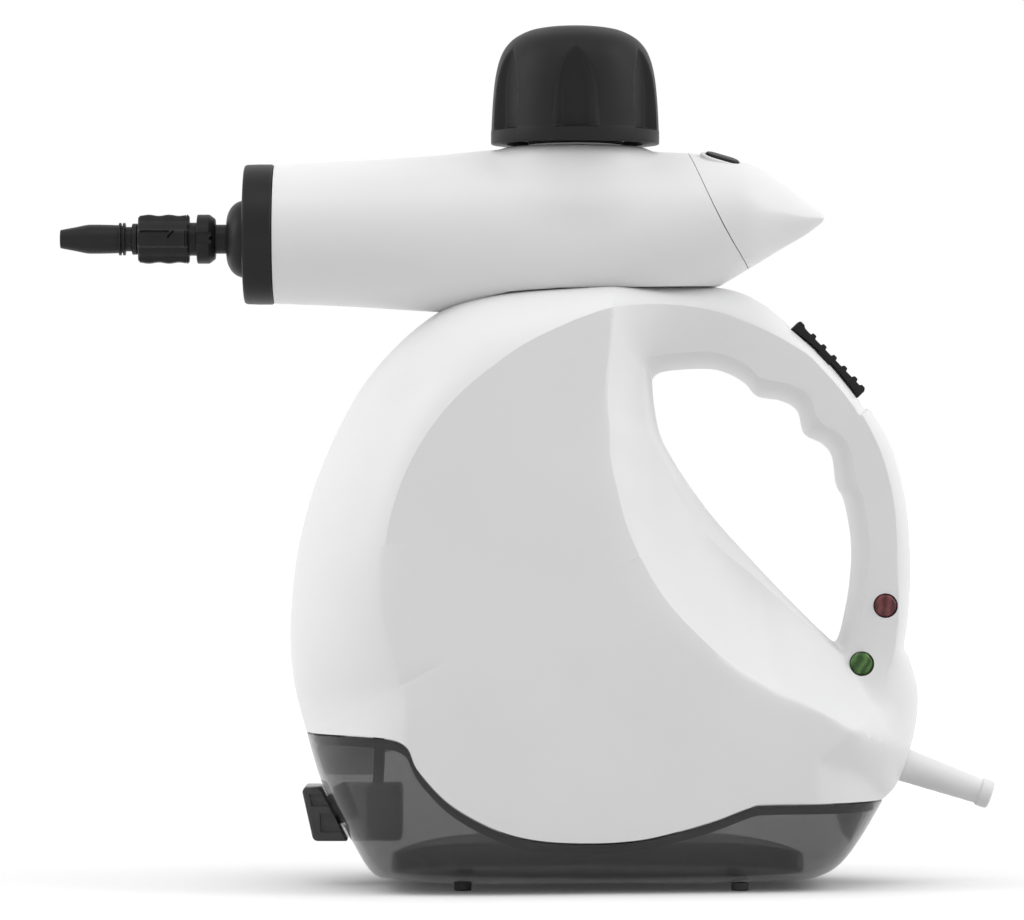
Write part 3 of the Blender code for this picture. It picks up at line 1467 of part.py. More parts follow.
def route_point(share):
    x, z = side_point((share[0], share[2]))
    return x, share[1] * body_half_depth, z


def make_detergent_path():
    box = soft_block((filter_front_x, -filter_half_width, filter_low_z),
                     (filter_rear_x, filter_half_width, filter_high_z), block_bevel)
    add_piece("suction_filter", box, "smoke")
    pump_end = button_frame() @ Vector((0, 0, -sleeve_depth - pump_length))
    port = (pump_end.x - port_ahead, pump_end.z - port_drop)
    route = [(hose_x, 0, filter_high_z + clearance)] + [route_point(share) for share in suction_route_share]
    route.append((port[0], pump_end.y - port_side, port[1]))
    add_piece("suction_hose", sweep(curve_through(route, 2), hose_radius, 6), "silicone")
    route = [(port[0], pump_end.y + port_side, port[1])]
    route += [route_point(share) for share in delivery_route_share]
    route.append((base_tail_end + hose_end_gap, hose_end_side, nozzle_axis_z))
    add_piece("delivery_hose", sweep(curve_through(route, 2), hose_radius, 6), "silicone")


def make_cord_outlet():
    ring_start = boot_length - boot_ring_length
    profile = [(boot_bore, -boot_flange_back), (boot_flange, -boot_flange_back),
               (boot_flange, -boot_flange_front), (boot_radius, -boot_flange_front), (boot_radius, 0),
               (boot_end_radius, ring_start), (boot_ring_radius, ring_start + clearance),
               (boot_ring_radius, boot_length), (boot_bore, boot_length)]
    add_piece("bend_protection_boot", placed(turned(profile, 20), boot_frame()), "white")
    low, high = clamp_seat + clearance, clamp_seat + clearance + clamp_thickness
    a, b = Vector(clamp_point(-clamp_spacing)), Vector(clamp_point(clamp_spacing))
    middle = (a + b) / 2
    slant = math.atan2((b - a).y, (b - a).x)
    bar = pill(2 * (clamp_spacing + clamp_boss), 2 * clamp_boss, low, high)
    spin = Matrix.Rotation(-slant, 4, "Z")
    clamp = add_piece("cord_clamp", sideways(placed(bar, spin), middle.x, middle.y, 1), "nylon")
    small = clamp_screw_radius
    holes = []
    for number, (x, z) in enumerate((a, b), 1):
        holes.append(sideways(rod(small + clearance, low - overrun, high + overrun, 16), x, z, 1))
        screw = turned([(0, -clamp_screw_depth), (small, -clamp_screw_depth), (small, high + clearance),
                        (small * 1.8, high + clearance), (small * 1.8, high + clearance + screw_head * 0.8),
                        (0, high + clearance + screw_head * 0.8)], 14)
        add_piece("clamp_screw_%d" % number, sideways(screw, x, z, 1), "steel")
    combine(clamp, joined(holes), "DIFFERENCE")
    terminal = soft_block((terminal_front_x, -terminal_half_width, terminal_z),
                          (terminal_rear_x, terminal_half_width, terminal_z + terminal_height), edge_bevel)
    add_piece("terminal_block", terminal, "nylon")


def build():
    global root
    clear_scene()
    root = bpy.data.objects.new("steam_cleaner", None)
    bpy.context.scene.collection.objects.link(root)
    boot_end = boot_x + boot_length * math.cos(boot_slope) + boot_ring_radius * math.sin(boot_slope)
    root.location.x = -(jet_tip_x + boot_end) / 2
    make_shells()
    make_shell_screws()
    make_barrel()
    make_tail()
    make_button()
    make_boiler()
    make_cap()
    make_nozzle()
    make_steam_path()
    make_trigger()
    make_lamps()
    make_tank()
    make_detergent_path()
    make_cord_outlet()


build()
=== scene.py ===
import math
from bisect import bisect_right

import bpy
from mathutils import Matrix, Vector


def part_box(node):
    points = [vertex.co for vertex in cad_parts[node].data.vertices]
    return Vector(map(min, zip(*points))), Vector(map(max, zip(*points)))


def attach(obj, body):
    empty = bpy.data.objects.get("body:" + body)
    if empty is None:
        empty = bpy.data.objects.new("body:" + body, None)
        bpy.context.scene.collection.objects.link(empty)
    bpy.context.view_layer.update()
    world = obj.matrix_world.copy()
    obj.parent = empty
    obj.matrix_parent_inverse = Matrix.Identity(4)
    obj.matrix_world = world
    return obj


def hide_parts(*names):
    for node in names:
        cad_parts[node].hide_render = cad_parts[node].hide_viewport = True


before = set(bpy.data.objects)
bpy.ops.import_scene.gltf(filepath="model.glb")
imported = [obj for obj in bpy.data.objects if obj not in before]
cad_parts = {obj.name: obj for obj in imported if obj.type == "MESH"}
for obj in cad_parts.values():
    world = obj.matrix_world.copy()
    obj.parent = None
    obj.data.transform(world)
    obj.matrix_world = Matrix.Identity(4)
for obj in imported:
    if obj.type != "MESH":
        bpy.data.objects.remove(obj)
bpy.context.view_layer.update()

print("frame loaded:", len(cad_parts), "nodes")

# Sizes that several pieces share, in metres
body = {
    "length": 0.219, "height": 0.2075, "footHeight": 0.0016, "shiftX": 0.026256,
    "halfDepth": 0.051, "handleHalfDepth": 0.0175, "discRadius": 0.0879,
    "taper": 0.12, "frontRounding": 2.4, "frontRoundingX": -0.030,
    "wall": 0.0025, "gap": 0.00015, "land": 0.0008, "handleEdge": 0.0060,
    "bandLow": 0.012, "bandHigh": 0.040, "bandFloor": 0.0036, "crease": 0.22, "scoopSoft": 0.03,
    "lowPartShare": 0.34, "edgePower": (3.5, 2.0), "handlePower": 2.0, "scoopPower": 1.6,
    "centreShare": (0.555, 0.512), "openingShare": (0.727, 0.647),
}

silhouetteShare = [
    (0.027, 0.247), (0.006, 0.335), (0.001, 0.436), (0.016, 0.571), (0.056, 0.706), (0.124, 0.841),
    (0.224, 0.945), (0.324, 0.987), (0.476, 0.999), (0.575, 1.000), (0.671, 0.997), (0.719, 0.987),
    (0.756, 0.967), (0.784, 0.944), (0.799, 0.928), (0.824, 0.904), (0.848, 0.879), (0.877, 0.846),
    (0.896, 0.822), (0.909, 0.803), (0.917, 0.791), (0.928, 0.786), (0.960, 0.726), (0.983, 0.630),
    (0.990, 0.527), (0.986, 0.441), (0.980, 0.392),
    (0.989, 0.370), (1.002, 0.313), (0.995, 0.244), (0.970, 0.168), (0.947, 0.139),
]
seamShare = [
    (0.027, 0.250), (0.174, 0.247), (0.209, 0.198), (0.258, 0.1440), (0.329, 0.102), (0.397, 0.083),
    (0.479, 0.078), (0.548, 0.082), (0.601, 0.093), (0.669, 0.113), (0.723, 0.134), (0.757, 0.1395),
    (0.947, 0.139),
]
tankShare = [
    (0.027, 0.247), (0.053, 0.162), (0.098, 0.074), (0.132, 0.019), (0.164, 0.008), (0.260, 0.000),
    (0.500, 0.000), (0.746, 0.001), (0.864, 0.021), (0.947, 0.139),
]
openingShare = [
    (0.578, 0.839), (0.585, 0.849), (0.607, 0.856), (0.660, 0.859), (0.692, 0.854), (0.725, 0.836),
    (0.746, 0.813), (0.784, 0.805), (0.810, 0.788), (0.821, 0.750), (0.849, 0.733), (0.865, 0.712),
    (0.872, 0.664), (0.884, 0.638), (0.895, 0.574), (0.895, 0.520), (0.887, 0.458), (0.872, 0.402),
    (0.850, 0.416), (0.823, 0.443), (0.770, 0.500), (0.725, 0.551), (0.692, 0.589), (0.660, 0.630),
    (0.634, 0.668), (0.611, 0.706), (0.591, 0.747), (0.581, 0.799),
]
# Edge of the flat face: degrees, and share of its radius
faceEdgeShare = [
    (0.0, 1.018), (4.0, 1.018), (10.7, 1.032), (19.7, 1.054), (27.4, 1.072), (35.6, 1.085), (43.3, 1.094),
    (49.7, 1.099), (57.8, 1.092), (66.9, 1.086), (75.0, 1.085), (88.8, 1.068), (97.0, 1.050), (108.0, 1.022),
    (125.0, 1.0), (300.0, 0.99), (315.0, 0.991), (328.0, 1.035), (336.0, 1.050), (345.0, 1.045),
    (360.0, 1.018),
]
# Edge of the scoop round the hand opening: degrees, and share of the face's radius
scoopShare = [
    (0.0, 3.10), (45.0, 3.10), (90.0, 2.20), (110.0, 1.35), (127.3, 0.88), (149.0, 0.65), (164.0, 0.57),
    (183.0, 0.51), (214.0, 0.495), (247.6, 0.572), (270.6, 0.716), (277.8, 0.779), (283.7, 0.832),
    (288.8, 0.898), (293.8, 1.00), (300.0, 1.12), (308.0, 1.28), (318.0, 1.55), (335.0, 2.20), (360.0, 3.10),
]


def sidePoint(share):
    return (share[0] - 0.5) * body["length"] + body["shiftX"], body["footHeight"] + share[1] * body["height"]


def mix(a, b, t):
    return a + (b - a) * t


def ease(x):
    x = min(max(x, 0), 1)
    return x * x * (3 - 2 * x)


# Points on a smooth curve through the given ones
def curveThrough(points, steps):
    ends = [points[0]] + list(points) + [points[-1]]
    curve = []
    for i in range(1, len(ends) - 2):
        a, b, c, d = ends[i - 1:i + 3]
        for k in range(steps):
            t = k / steps
            curve.append(tuple(
                0.5 * (2 * q + (r - p) * t + (2 * p - 5 * q + 4 * r - s) * t ** 2 + (3 * q - p - 3 * r + s) * t ** 3)
                for p, q, r, s in zip(a, b, c, d)))
    curve.append(tuple(points[-1]))
    return curve


class Table:
    def __init__(self, rows):
        self.rows = rows
        self.keys = [row[0] for row in rows]

    def at(self, x, column=1):
        i = min(max(bisect_right(self.keys, x) - 1, 0), len(self.rows) - 2)
        t = min(max((x - self.keys[i]) / (self.keys[i + 1] - self.keys[i]), 0), 1)
        return mix(self.rows[i][column], self.rows[i + 1][column], t)


# A closed outline that says how far out it lies in any direction from its centre
class Outline:
    def __init__(self, centre, points):
        self.centre = centre
        keyed = {}
        for x, z in points:
            dx, dz = x - centre[0], z - centre[1]
            keyed[round(math.atan2(dz, dx) % math.tau, 9)] = (dx, dz)
        self.angles = sorted(keyed)
        self.points = [keyed[angle] for angle in self.angles]

    def radius(self, angle):
        angle %= math.tau
        i = bisect_right(self.angles, angle) - 1
        ax, az = self.points[i]
        bx, bz = self.points[(i + 1) % len(self.points)]
        ux, uz = math.cos(angle), math.sin(angle)
        return (ax * (bz - az) - az * (bx - ax)) / (ux * (bz - az) - uz * (bx - ax))

    def polar(self, x, z):
        dx, dz = x - self.centre[0], z - self.centre[1]
        return math.hypot(dx, dz), math.atan2(dz, dx)


silhouette = curveThrough([sidePoint(p) for p in silhouetteShare], 12)
seam = curveThrough([sidePoint(p) for p in seamShare], 12)
tankEdge = curveThrough([sidePoint(p) for p in tankShare], 12)
opening = curveThrough([sidePoint(p) for p in openingShare] + [sidePoint(openingShare[0])], 8)
wholeOutline = Outline(sidePoint(body["centreShare"]), silhouette + tankEdge[1:-1])
openingOutline = Outline(sidePoint(body["openingShare"]), opening[:-1])
scoopTable = Table(curveThrough([(math.radians(a), r * body["discRadius"]) for a, r in scoopShare], 8))
faceEdge = Table([(math.radians(a), r * body["discRadius"]) for a, r in faceEdgeShare])


def edgeShare(q, power):
    if q >= 1:
        return 1.0
    return (1 - body["crease"]) * (1 - (1 - q) ** power) ** (1 / power) + body["crease"] * q


def outerGap(x, z):
    r, angle = wholeOutline.polar(x, z)
    return wholeOutline.radius(angle) - r


def bandShare(x, z, inset):
    r, angle = wholeOutline.polar(x, z)
    reach = wholeOutline.radius(angle)
    low = ease((z - body["footHeight"]) / (body["height"] * body["lowPartShare"]))
    face = faceEdge.at(angle % math.tau)
    band = min(max(reach - face, body["bandFloor"]), mix(body["bandLow"], body["bandHigh"], low))
    return (reach - r - inset) / band, mix(*body["edgePower"], low)


def scoopDepth(x, z):
    r, angle = openingOutline.polar(x, z)
    local = x - body["shiftX"]
    face = body["halfDepth"] - body["taper"] * local
    ahead = min(local - body["frontRoundingX"], 0) / body["length"]
    face -= body["halfDepth"] * body["frontRounding"] * ahead ** 2
    rim = scoopTable.at(angle % math.tau)
    inner = openingOutline.radius(angle)
    q = (rim - r) / max(rim - inner, body["land"])
    q = min((q + math.sqrt(q * q + body["scoopSoft"] ** 2)) / 2, 1)
    return body["handleHalfDepth"] + (face - body["handleHalfDepth"]) * (1 - q) ** body["scoopPower"]


# Half thickness of the body at a point of its side view
def halfDepth(x, z, inset=0.0):
    q, power = bandShare(x, z, inset)
    r, angle = openingOutline.polar(x, z)
    inner = (r - openingOutline.radius(angle) - inset) / body["handleEdge"]
    if q <= 0 or inner <= 0:
        return 0.0
    return max((scoopDepth(x, z) - inset) * edgeShare(q, power) * edgeShare(inner, body["handlePower"]), 0.0)


def evenPoints(line, count):
    lengths = [0.0]
    for a, b in zip(line, line[1:]):
        lengths.append(lengths[-1] + math.dist(a, b))
    points = []
    for k in range(count + 1):
        target = lengths[-1] * k / count
        i = min(max(bisect_right(lengths, target) - 1, 0), len(line) - 2)
        t = (target - lengths[i]) / max(lengths[i + 1] - lengths[i], 1e-12)
        points.append((mix(line[i][0], line[i + 1][0], t), mix(line[i][1], line[i + 1][1], t)))
    return points


# Work in object and edit mode

def deselect():
    if bpy.context.object and bpy.context.object.mode != "OBJECT":
        bpy.ops.object.mode_set(mode="OBJECT")
    bpy.ops.object.select_all(action="DESELECT")


def pick(piece):
    deselect()
    piece.select_set(True)
    bpy.context.view_layer.objects.active = piece


def editAll(piece):
    pick(piece)
    bpy.ops.object.mode_set(mode="EDIT")
    bpy.ops.mesh.select_all(action="SELECT")


# A single point at the origin, ready to be drawn on in edit mode
def freePlace(name):
    deselect()
    bpy.ops.mesh.primitive_plane_add(size=0.001)
    piece = bpy.context.object
    piece.name = piece.data.name = name
    editAll(piece)
    bpy.ops.mesh.merge(type="CENTER")
    return piece


# Moves the point to the line's start and extrudes it from point to point
def drawLine(points):
    bpy.ops.transform.translate(value=points[0])
    for a, b in zip(points, points[1:]):
        step = tuple(q - p for p, q in zip(a, b))
        bpy.ops.mesh.extrude_vertices_move(TRANSFORM_OT_translate={"value": step})


def tidyMesh(threshold=1e-6):
    bpy.ops.mesh.select_all(action="SELECT")
    bpy.ops.mesh.remove_doubles(threshold=threshold)
    bpy.ops.mesh.normals_make_consistent(inside=False)
    bpy.ops.object.mode_set(mode="OBJECT")


# Spins a profile of radius and height about Z, then puts it in its place
def turn(name, rows, steps=64, place=None):
    piece = freePlace(name)
    drawLine([(r, 0, z) for r, z in rows])
    bpy.ops.mesh.select_all(action="SELECT")
    bpy.ops.mesh.spin(steps=steps, angle=math.tau, center=(0, 0, 0), axis=(0, 0, 1))
    tidyMesh()
    return put(piece, place)


# A plain round rod, mostly used as a tool
def rod(name, radius, low, high, steps=64, place=None):
    return turn(name, [(0, low), (radius, low), (radius, high), (0, high)], steps, place)


# Fills an outline in X and Y and extrudes it along Z
def plate(name, outline, low, high, place=None):
    piece = freePlace(name)
    drawLine([(x, y, low) for x, y in outline])
    bpy.ops.mesh.select_all(action="SELECT")
    bpy.ops.mesh.edge_face_add()
    bpy.ops.mesh.extrude_region_move(TRANSFORM_OT_translate={"value": (0, 0, high - low)})
    tidyMesh()
    return put(piece, place)


def brick(name, low, high, place=None):
    deselect()
    middle = [(a + b) / 2 for a, b in zip(low, high)]
    bpy.ops.mesh.primitive_cube_add(size=1, location=middle, scale=[b - a for a, b in zip(low, high)])
    piece = bpy.context.object
    piece.name = piece.data.name = name
    bpy.ops.object.transform_apply(location=True, rotation=True, scale=True)
    return put(piece, place)


def put(piece, place):
    pick(piece)
    if place is not None:
        piece.matrix_world = place
        bpy.context.view_layer.update()
        bpy.ops.object.transform_apply(location=True, rotation=True, scale=True)
    return piece


# A place whose Z runs along one direction and whose X is nearest to another
def seat(origin, along, up):
    z = Vector(along).normalized()
    x = (Vector(up) - z * Vector(up).dot(z)).normalized()
    matrix = Matrix((x, z.cross(x), z)).transposed().to_4x4()
    matrix.translation = Vector(origin)
    return matrix


def bevelled(piece, width, segments=2, angle=30):
    pick(piece)
    step = piece.modifiers.new("soften", "BEVEL")
    step.width = width
    step.segments = segments
    step.limit_method = "ANGLE"
    step.angle_limit = math.radians(angle)
    step.use_clamp_overlap = True
    bpy.ops.object.modifier_apply(modifier="soften")
    return piece


def carve(piece, tools, operation="DIFFERENCE"):
    for tool in tools:
        pick(piece)
        step = piece.modifiers.new("carve", "BOOLEAN")
        step.operation = operation
        step.solver = "EXACT"
        step.object = tool
        bpy.ops.object.modifier_apply(modifier="carve")
        bpy.data.objects.remove(tool, do_unlink=True)
    return piece


def smooth(piece, angle=35):
    pick(piece)
    bpy.ops.object.shade_smooth_by_angle(angle=math.radians(angle))
    return piece


# A closed skin over rings of points; open ends get a tip
def fromRings(name, rings, closed=False, tips=(None, None)):
    points = [p for ring in rings for p in ring]
    n = len(rings[0])
    faces = []
    pairs = list(zip(range(len(rings)), range(1, len(rings))))
    if closed:
        pairs.append((len(rings) - 1, 0))
    for a, b in pairs:
        faces += [(a * n + i, a * n + (i + 1) % n, b * n + (i + 1) % n, b * n + i) for i in range(n)]
    for row, tip in zip((0, len(rings) - 1), tips):
        if tip is not None:
            points.append(tip)
            faces += [(row * n + i, row * n + (i + 1) % n, len(points) - 1) for i in range(n)]
    mesh = bpy.data.meshes.new(name)
    mesh.from_pydata(points, [], faces)
    piece = bpy.data.objects.new(name, mesh)
    bpy.context.scene.collection.objects.link(piece)
    editAll(piece)
    bpy.ops.mesh.normals_make_consistent(inside=False)
    bpy.ops.object.mode_set(mode="OBJECT")
    return piece


# Materials

def graph(name):
    material = bpy.data.materials.new(name)
    material.use_nodes = True
    nodes, links = material.node_tree.nodes, material.node_tree.links
    return material, nodes, links, nodes["Principled BSDF"]


def noiseNode(nodes, links, scale, detail=3.0, stretch=(1, 1, 1)):
    coords = nodes.new("ShaderNodeTexCoord")
    mapping = nodes.new("ShaderNodeMapping")
    mapping.inputs["Scale"].default_value = stretch
    noise = nodes.new("ShaderNodeTexNoise")
    noise.inputs["Scale"].default_value = scale
    noise.inputs["Detail"].default_value = detail
    links.new(coords.outputs["Object"], mapping.inputs["Vector"])
    links.new(mapping.outputs["Vector"], noise.inputs["Vector"])
    return noise


# Moulded plastic or metal: broad tone change, roughness change and a fine grain
def moulded(name, look):
    material, nodes, links, shader = graph(name)
    broad = noiseNode(nodes, links, look.get("patch", 22), 4.0)
    ramp = nodes.new("ShaderNodeValToRGB")
    ramp.color_ramp.elements[0].position = 0.35
    ramp.color_ramp.elements[1].position = 0.65
    ramp.color_ramp.elements[0].color = (*look["shade"], 1)
    ramp.color_ramp.elements[1].color = (*look["tone"], 1)
    links.new(broad.outputs["Fac"], ramp.inputs["Fac"])
    links.new(ramp.outputs["Color"], shader.inputs["Base Color"])
    rub = noiseNode(nodes, links, look.get("rub", 140), 5.0, look.get("stretch", (1, 1, 1)))
    spread = nodes.new("ShaderNodeMapRange")
    spread.inputs["To Min"].default_value = look["roughness"][0]
    spread.inputs["To Max"].default_value = look["roughness"][1]
    links.new(rub.outputs["Fac"], spread.inputs["Value"])
    links.new(spread.outputs["Result"], shader.inputs["Roughness"])
    grain = noiseNode(nodes, links, look.get("grain", 2400), 2.0, look.get("stretch", (1, 1, 1)))
    bump = nodes.new("ShaderNodeBump")
    bump.inputs["Strength"].default_value = look.get("bump", 0.05)
    bump.inputs["Distance"].default_value = look.get("depth", 0.0001)
    links.new(grain.outputs["Fac"], bump.inputs["Height"])
    links.new(bump.outputs["Normal"], shader.inputs["Normal"])
    shader.inputs["Metallic"].default_value = look.get("metallic", 0.0)
    shader.inputs["Specular IOR Level"].default_value = look.get("specular", 0.5)
    shader.inputs["Alpha"].default_value = look.get("alpha", 1.0)
    shader.inputs["Coat Weight"].default_value = look.get("coat", 0.0)
    shader.inputs["Coat Roughness"].default_value = 0.12
    return material


looks = {
    "whiteShell": {"tone": (0.83, 0.83, 0.83), "shade": (0.81, 0.81, 0.812), "roughness": (0.32, 0.42),
                   "bump": 0.04, "specular": 0.35},
    "blackPlastic": {"tone": (0.011, 0.011, 0.012), "shade": (0.008, 0.008, 0.009), "roughness": (0.36, 0.48),
                     "bump": 0.18, "grain": 2000, "specular": 0.22},
    "softBlack": {"tone": (0.015, 0.015, 0.016), "shade": (0.011, 0.011, 0.012), "roughness": (0.40, 0.52),
                  "bump": 0.22, "grain": 1600, "specular": 0.18},
    "smokedPlastic": {"tone": (0.050, 0.050, 0.051), "shade": (0.044, 0.044, 0.045),
                      "roughness": (0.10, 0.16),
                      "bump": 0.02, "alpha": 0.67, "specular": 0.3},
    "smokedInside": {"tone": (0.050, 0.050, 0.051), "shade": (0.044, 0.044, 0.045), "roughness": (0.12, 0.2),
                     "bump": 0.02, "alpha": 0.16, "specular": 0.15},
    "smokedFitting": {"tone": (0.040, 0.040, 0.041), "shade": (0.034, 0.034, 0.035), "roughness": (0.2, 0.3),
                      "bump": 0.02, "alpha": 0.45, "specular": 0.2},
    "smokedBlock": {"tone": (0.036, 0.036, 0.037), "shade": (0.028, 0.028, 0.029), "roughness": (0.14, 0.24),
                    "bump": 0.03, "alpha": 0.90, "specular": 0.35},
    "darkHose": {"tone": (0.035, 0.035, 0.036), "shade": (0.028, 0.028, 0.029), "roughness": (0.4, 0.55),
                 "bump": 0.1},
    "smokedRim": {"tone": (0.024, 0.024, 0.025), "shade": (0.020, 0.020, 0.021), "roughness": (0.22, 0.3),
                  "bump": 0.02, "specular": 0.3},
    "rubber": {"tone": (0.045, 0.045, 0.046), "shade": (0.035, 0.035, 0.036), "roughness": (0.62, 0.8),
               "bump": 0.25, "grain": 1500},
    "footRubber": {"tone": (0.085, 0.085, 0.086), "shade": (0.070, 0.070, 0.071), "roughness": (0.55, 0.7),
                   "bump": 0.2, "grain": 1500, "specular": 0.3},
    "silicone": {"tone": (0.50, 0.20, 0.15), "shade": (0.45, 0.17, 0.13), "roughness": (0.5, 0.62),
                 "bump": 0.1},
    "castAluminium": {"tone": (0.72, 0.73, 0.74), "shade": (0.62, 0.63, 0.64), "roughness": (0.38, 0.55),
                      "metallic": 1.0, "bump": 0.3, "grain": 900},
    "steel": {"tone": (0.64, 0.64, 0.65), "shade": (0.56, 0.56, 0.57), "roughness": (0.22, 0.36),
              "metallic": 1.0,
              "bump": 0.05},
    "brass": {"tone": (0.74, 0.56, 0.28), "shade": (0.64, 0.47, 0.22), "roughness": (0.26, 0.4),
              "metallic": 1.0,
              "bump": 0.06},
    "nylon": {"tone": (0.70, 0.69, 0.64), "shade": (0.66, 0.65, 0.60), "roughness": (0.45, 0.58),
              "bump": 0.08},
    "greyPlastic": {"tone": (0.30, 0.31, 0.32), "shade": (0.27, 0.28, 0.29), "roughness": (0.42, 0.55),
                    "bump": 0.08},
}
finishes = {name: moulded(name, look) for name, look in looks.items()}


# Clear coloured plastic with the moulded lines of a pilot lamp's lens
def lensFinish(name, tone, shade, turnDegrees):
    material, nodes, links, shader = graph(name)
    coords = nodes.new("ShaderNodeTexCoord")
    mapping = nodes.new("ShaderNodeMapping")
    mapping.inputs["Rotation"].default_value = (0, math.radians(turnDegrees), 0)
    wave = nodes.new("ShaderNodeTexWave")
    wave.bands_direction = "X"
    wave.inputs["Scale"].default_value = 95
    wave.inputs["Distortion"].default_value = 3.0
    wave.inputs["Detail Scale"].default_value = 3.0
    links.new(coords.outputs["Object"], mapping.inputs["Vector"])
    links.new(mapping.outputs["Vector"], wave.inputs["Vector"])
    ramp = nodes.new("ShaderNodeValToRGB")
    ramp.color_ramp.elements[0].color = (*shade, 1)
    ramp.color_ramp.elements[1].color = (*tone, 1)
    links.new(wave.outputs["Fac"], ramp.inputs["Fac"])
    links.new(ramp.outputs["Color"], shader.inputs["Base Color"])
    bump = nodes.new("ShaderNodeBump")
    bump.inputs["Strength"].default_value = 0.5
    bump.inputs["Distance"].default_value = 0.0003
    links.new(wave.outputs["Fac"], bump.inputs["Height"])
    links.new(bump.outputs["Normal"], shader.inputs["Normal"])
    shader.inputs["Roughness"].default_value = 0.16
    shader.inputs["Specular IOR Level"].default_value = 0.35
    return material


finishes["redLens"] = lensFinish("redLens", (0.19, 0.040, 0.042), (0.070, 0.012, 0.014), -6)
finishes["greenLens"] = lensFinish("greenLens", (0.085, 0.20, 0.040), (0.016, 0.065, 0.008), -30)
print("materials made:", len(finishes))


def finished(piece, finish, part, slot, *nodes):
    piece.data.materials.clear()
    piece.data.materials.append(finishes[finish])
    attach(piece, part)
    if nodes:
        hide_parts(*nodes)
    return piece


# Body shells

shell = {
    "outerSteps": 360, "seamSteps": 150, "reach": 6, "jump": 0.012,
    "band": [0.004, 0.015, 0.035, 0.065, 0.11, 0.17, 0.25, 0.35, 0.47, 0.61, 0.78, 0.93, 1.0],
    "face": [0.12, 0.3, 0.5, 0.7, 0.88, 0.96, 1.0],
    "scoop": [0.02, 0.05, 0.09, 0.15, 0.27, 0.40, 0.54, 0.68, 0.82, 0.93, 1.0],
    "handle": [0.2, 0.38, 0.54, 0.68, 0.79, 0.88, 0.94, 0.98],
    "handleMost": 0.3, "bandMost": 0.8, "bandLeast": 0.08, "faceLeast": 0.06, "scoopLeast": 0.08,
    "turnLeast": 0.05,
    "squareLeast": 0.45, "cutPast": 0.006, "slotStart": 0.008, "lampDepth": 0.012, "wellDepth": 0.0025,
    "wellPast": 0.03, "wellGap": 0.0004, "smoothAngle": 24,
}
screwShare = [(0.157, 0.329), (0.223, 0.780), (0.687, 0.925), (0.936, 0.615), (0.815, 0.222), (0.418, 0.128)]
trigger = {
    "x": 0.0785 + body["shiftX"], "z": 0.18305, "slope": math.radians(46.1), "length": 0.0332,
    "halfWidth": 0.0072, "thickness": 0.0030, "lip": 0.0044, "lipRun": 0.0030, "ribs": 5, "ribHeight": 0.0010,
    "slotDepth": 0.0078, "gap": 0.0006,
}
boot = {
    "x": 0.10374 + body["shiftX"], "z": 0.0420, "slope": math.radians(19.4), "length": 0.0337,
    "radius": 0.0059, "endRadius": 0.0044, "ringRadius": 0.0050, "ringLength": 0.0048, "bore": 0.0034,
    "flange": 0.0085,
}
lamps = {
    "redLens": {"place": sidePoint((0.9449, 0.4626)), "node": "red_lens", "slot": "red_lens"},
    "greenLens": {"place": sidePoint((0.9068, 0.3661)), "node": "green_lens", "slot": "green_lens"},
}
lens = {"radius": 0.00395, "rise": 0.0008, "depth": 0.0060, "thickness": 0.0022, "gap": 0.0003}
triggerSeat = seat((trigger["x"], 0, trigger["z"]),
                   (math.sin(trigger["slope"]), 0, math.cos(trigger["slope"])),
                   (math.cos(trigger["slope"]), 0, -math.sin(trigger["slope"])))
bootSeat = seat((boot["x"], 0, boot["z"]), (math.cos(boot["slope"]), 0, -math.sin(boot["slope"])), (0, 1, 0))


def firstShare(test):
    low, high = 0.0, 1.0
    for _ in range(12):
        middle = (low + high) / 2
        if test(middle):
            high = middle
        else:
            low = middle
    return high


def shellLines():
    edge = evenPoints(silhouette, shell["outerSteps"]) + evenPoints(seam, shell["seamSteps"])[-2:0:-1]
    lines = []
    last = None
    for x, z in edge:
        angle = openingOutline.polar(x, z)[1] % math.tau
        if last is not None:
            while angle > last:
                angle -= math.tau
            angle = min(angle, last - math.radians(shell["turnLeast"]))
        last = angle
        r = openingOutline.radius(angle)
        cx, cz = openingOutline.centre
        lines.append(((x, z), (cx + r * math.cos(angle), cz + r * math.sin(angle))))
    return lines


def lineStops(outer, inner):
    def at(s):
        return mix(outer[0], inner[0], s), mix(outer[1], inner[1], s)

    def inScoop(s):
        r, angle = openingOutline.polar(*at(s))
        return r < scoopTable.at(angle % math.tau)

    edge = 1 - min(body["handleEdge"] / math.dist(outer, inner), shell["handleMost"])
    band = max(min(firstShare(lambda s: bandShare(*at(s), 0)[0] >= 1), shell["bandMost"] * edge),
               shell["bandLeast"])
    rim = min(max(firstShare(inScoop), band + shell["faceLeast"]), edge - shell["scoopLeast"])
    return band, rim, edge


# Where the rings lie on each line; steps from line to line are evened out where they jump
def lineShares(lines):
    stops = [lineStops(*line) for line in lines]
    even = []
    for i, own in enumerate(stops):
        near = [stops[(i + k) % len(stops)] for k in range(-shell["reach"], shell["reach"] + 1)]
        calm = [sum(stop[column] for stop in near) / len(near) for column in range(3)]
        jump = max(abs(a - b) for a, b in zip(calm, own))
        even.append([mix(a, b, ease(jump / shell["jump"])) for a, b in zip(own, calm)])
    groups = (shell["band"], shell["face"], shell["scoop"], shell["handle"])
    shares = []
    for band, rim, edge in even:
        ends = (0.0, band, rim, edge, 1.0)
        shares.append([mix(ends[i], ends[i + 1], s) for i, group in enumerate(groups) for s in group])
    return shares


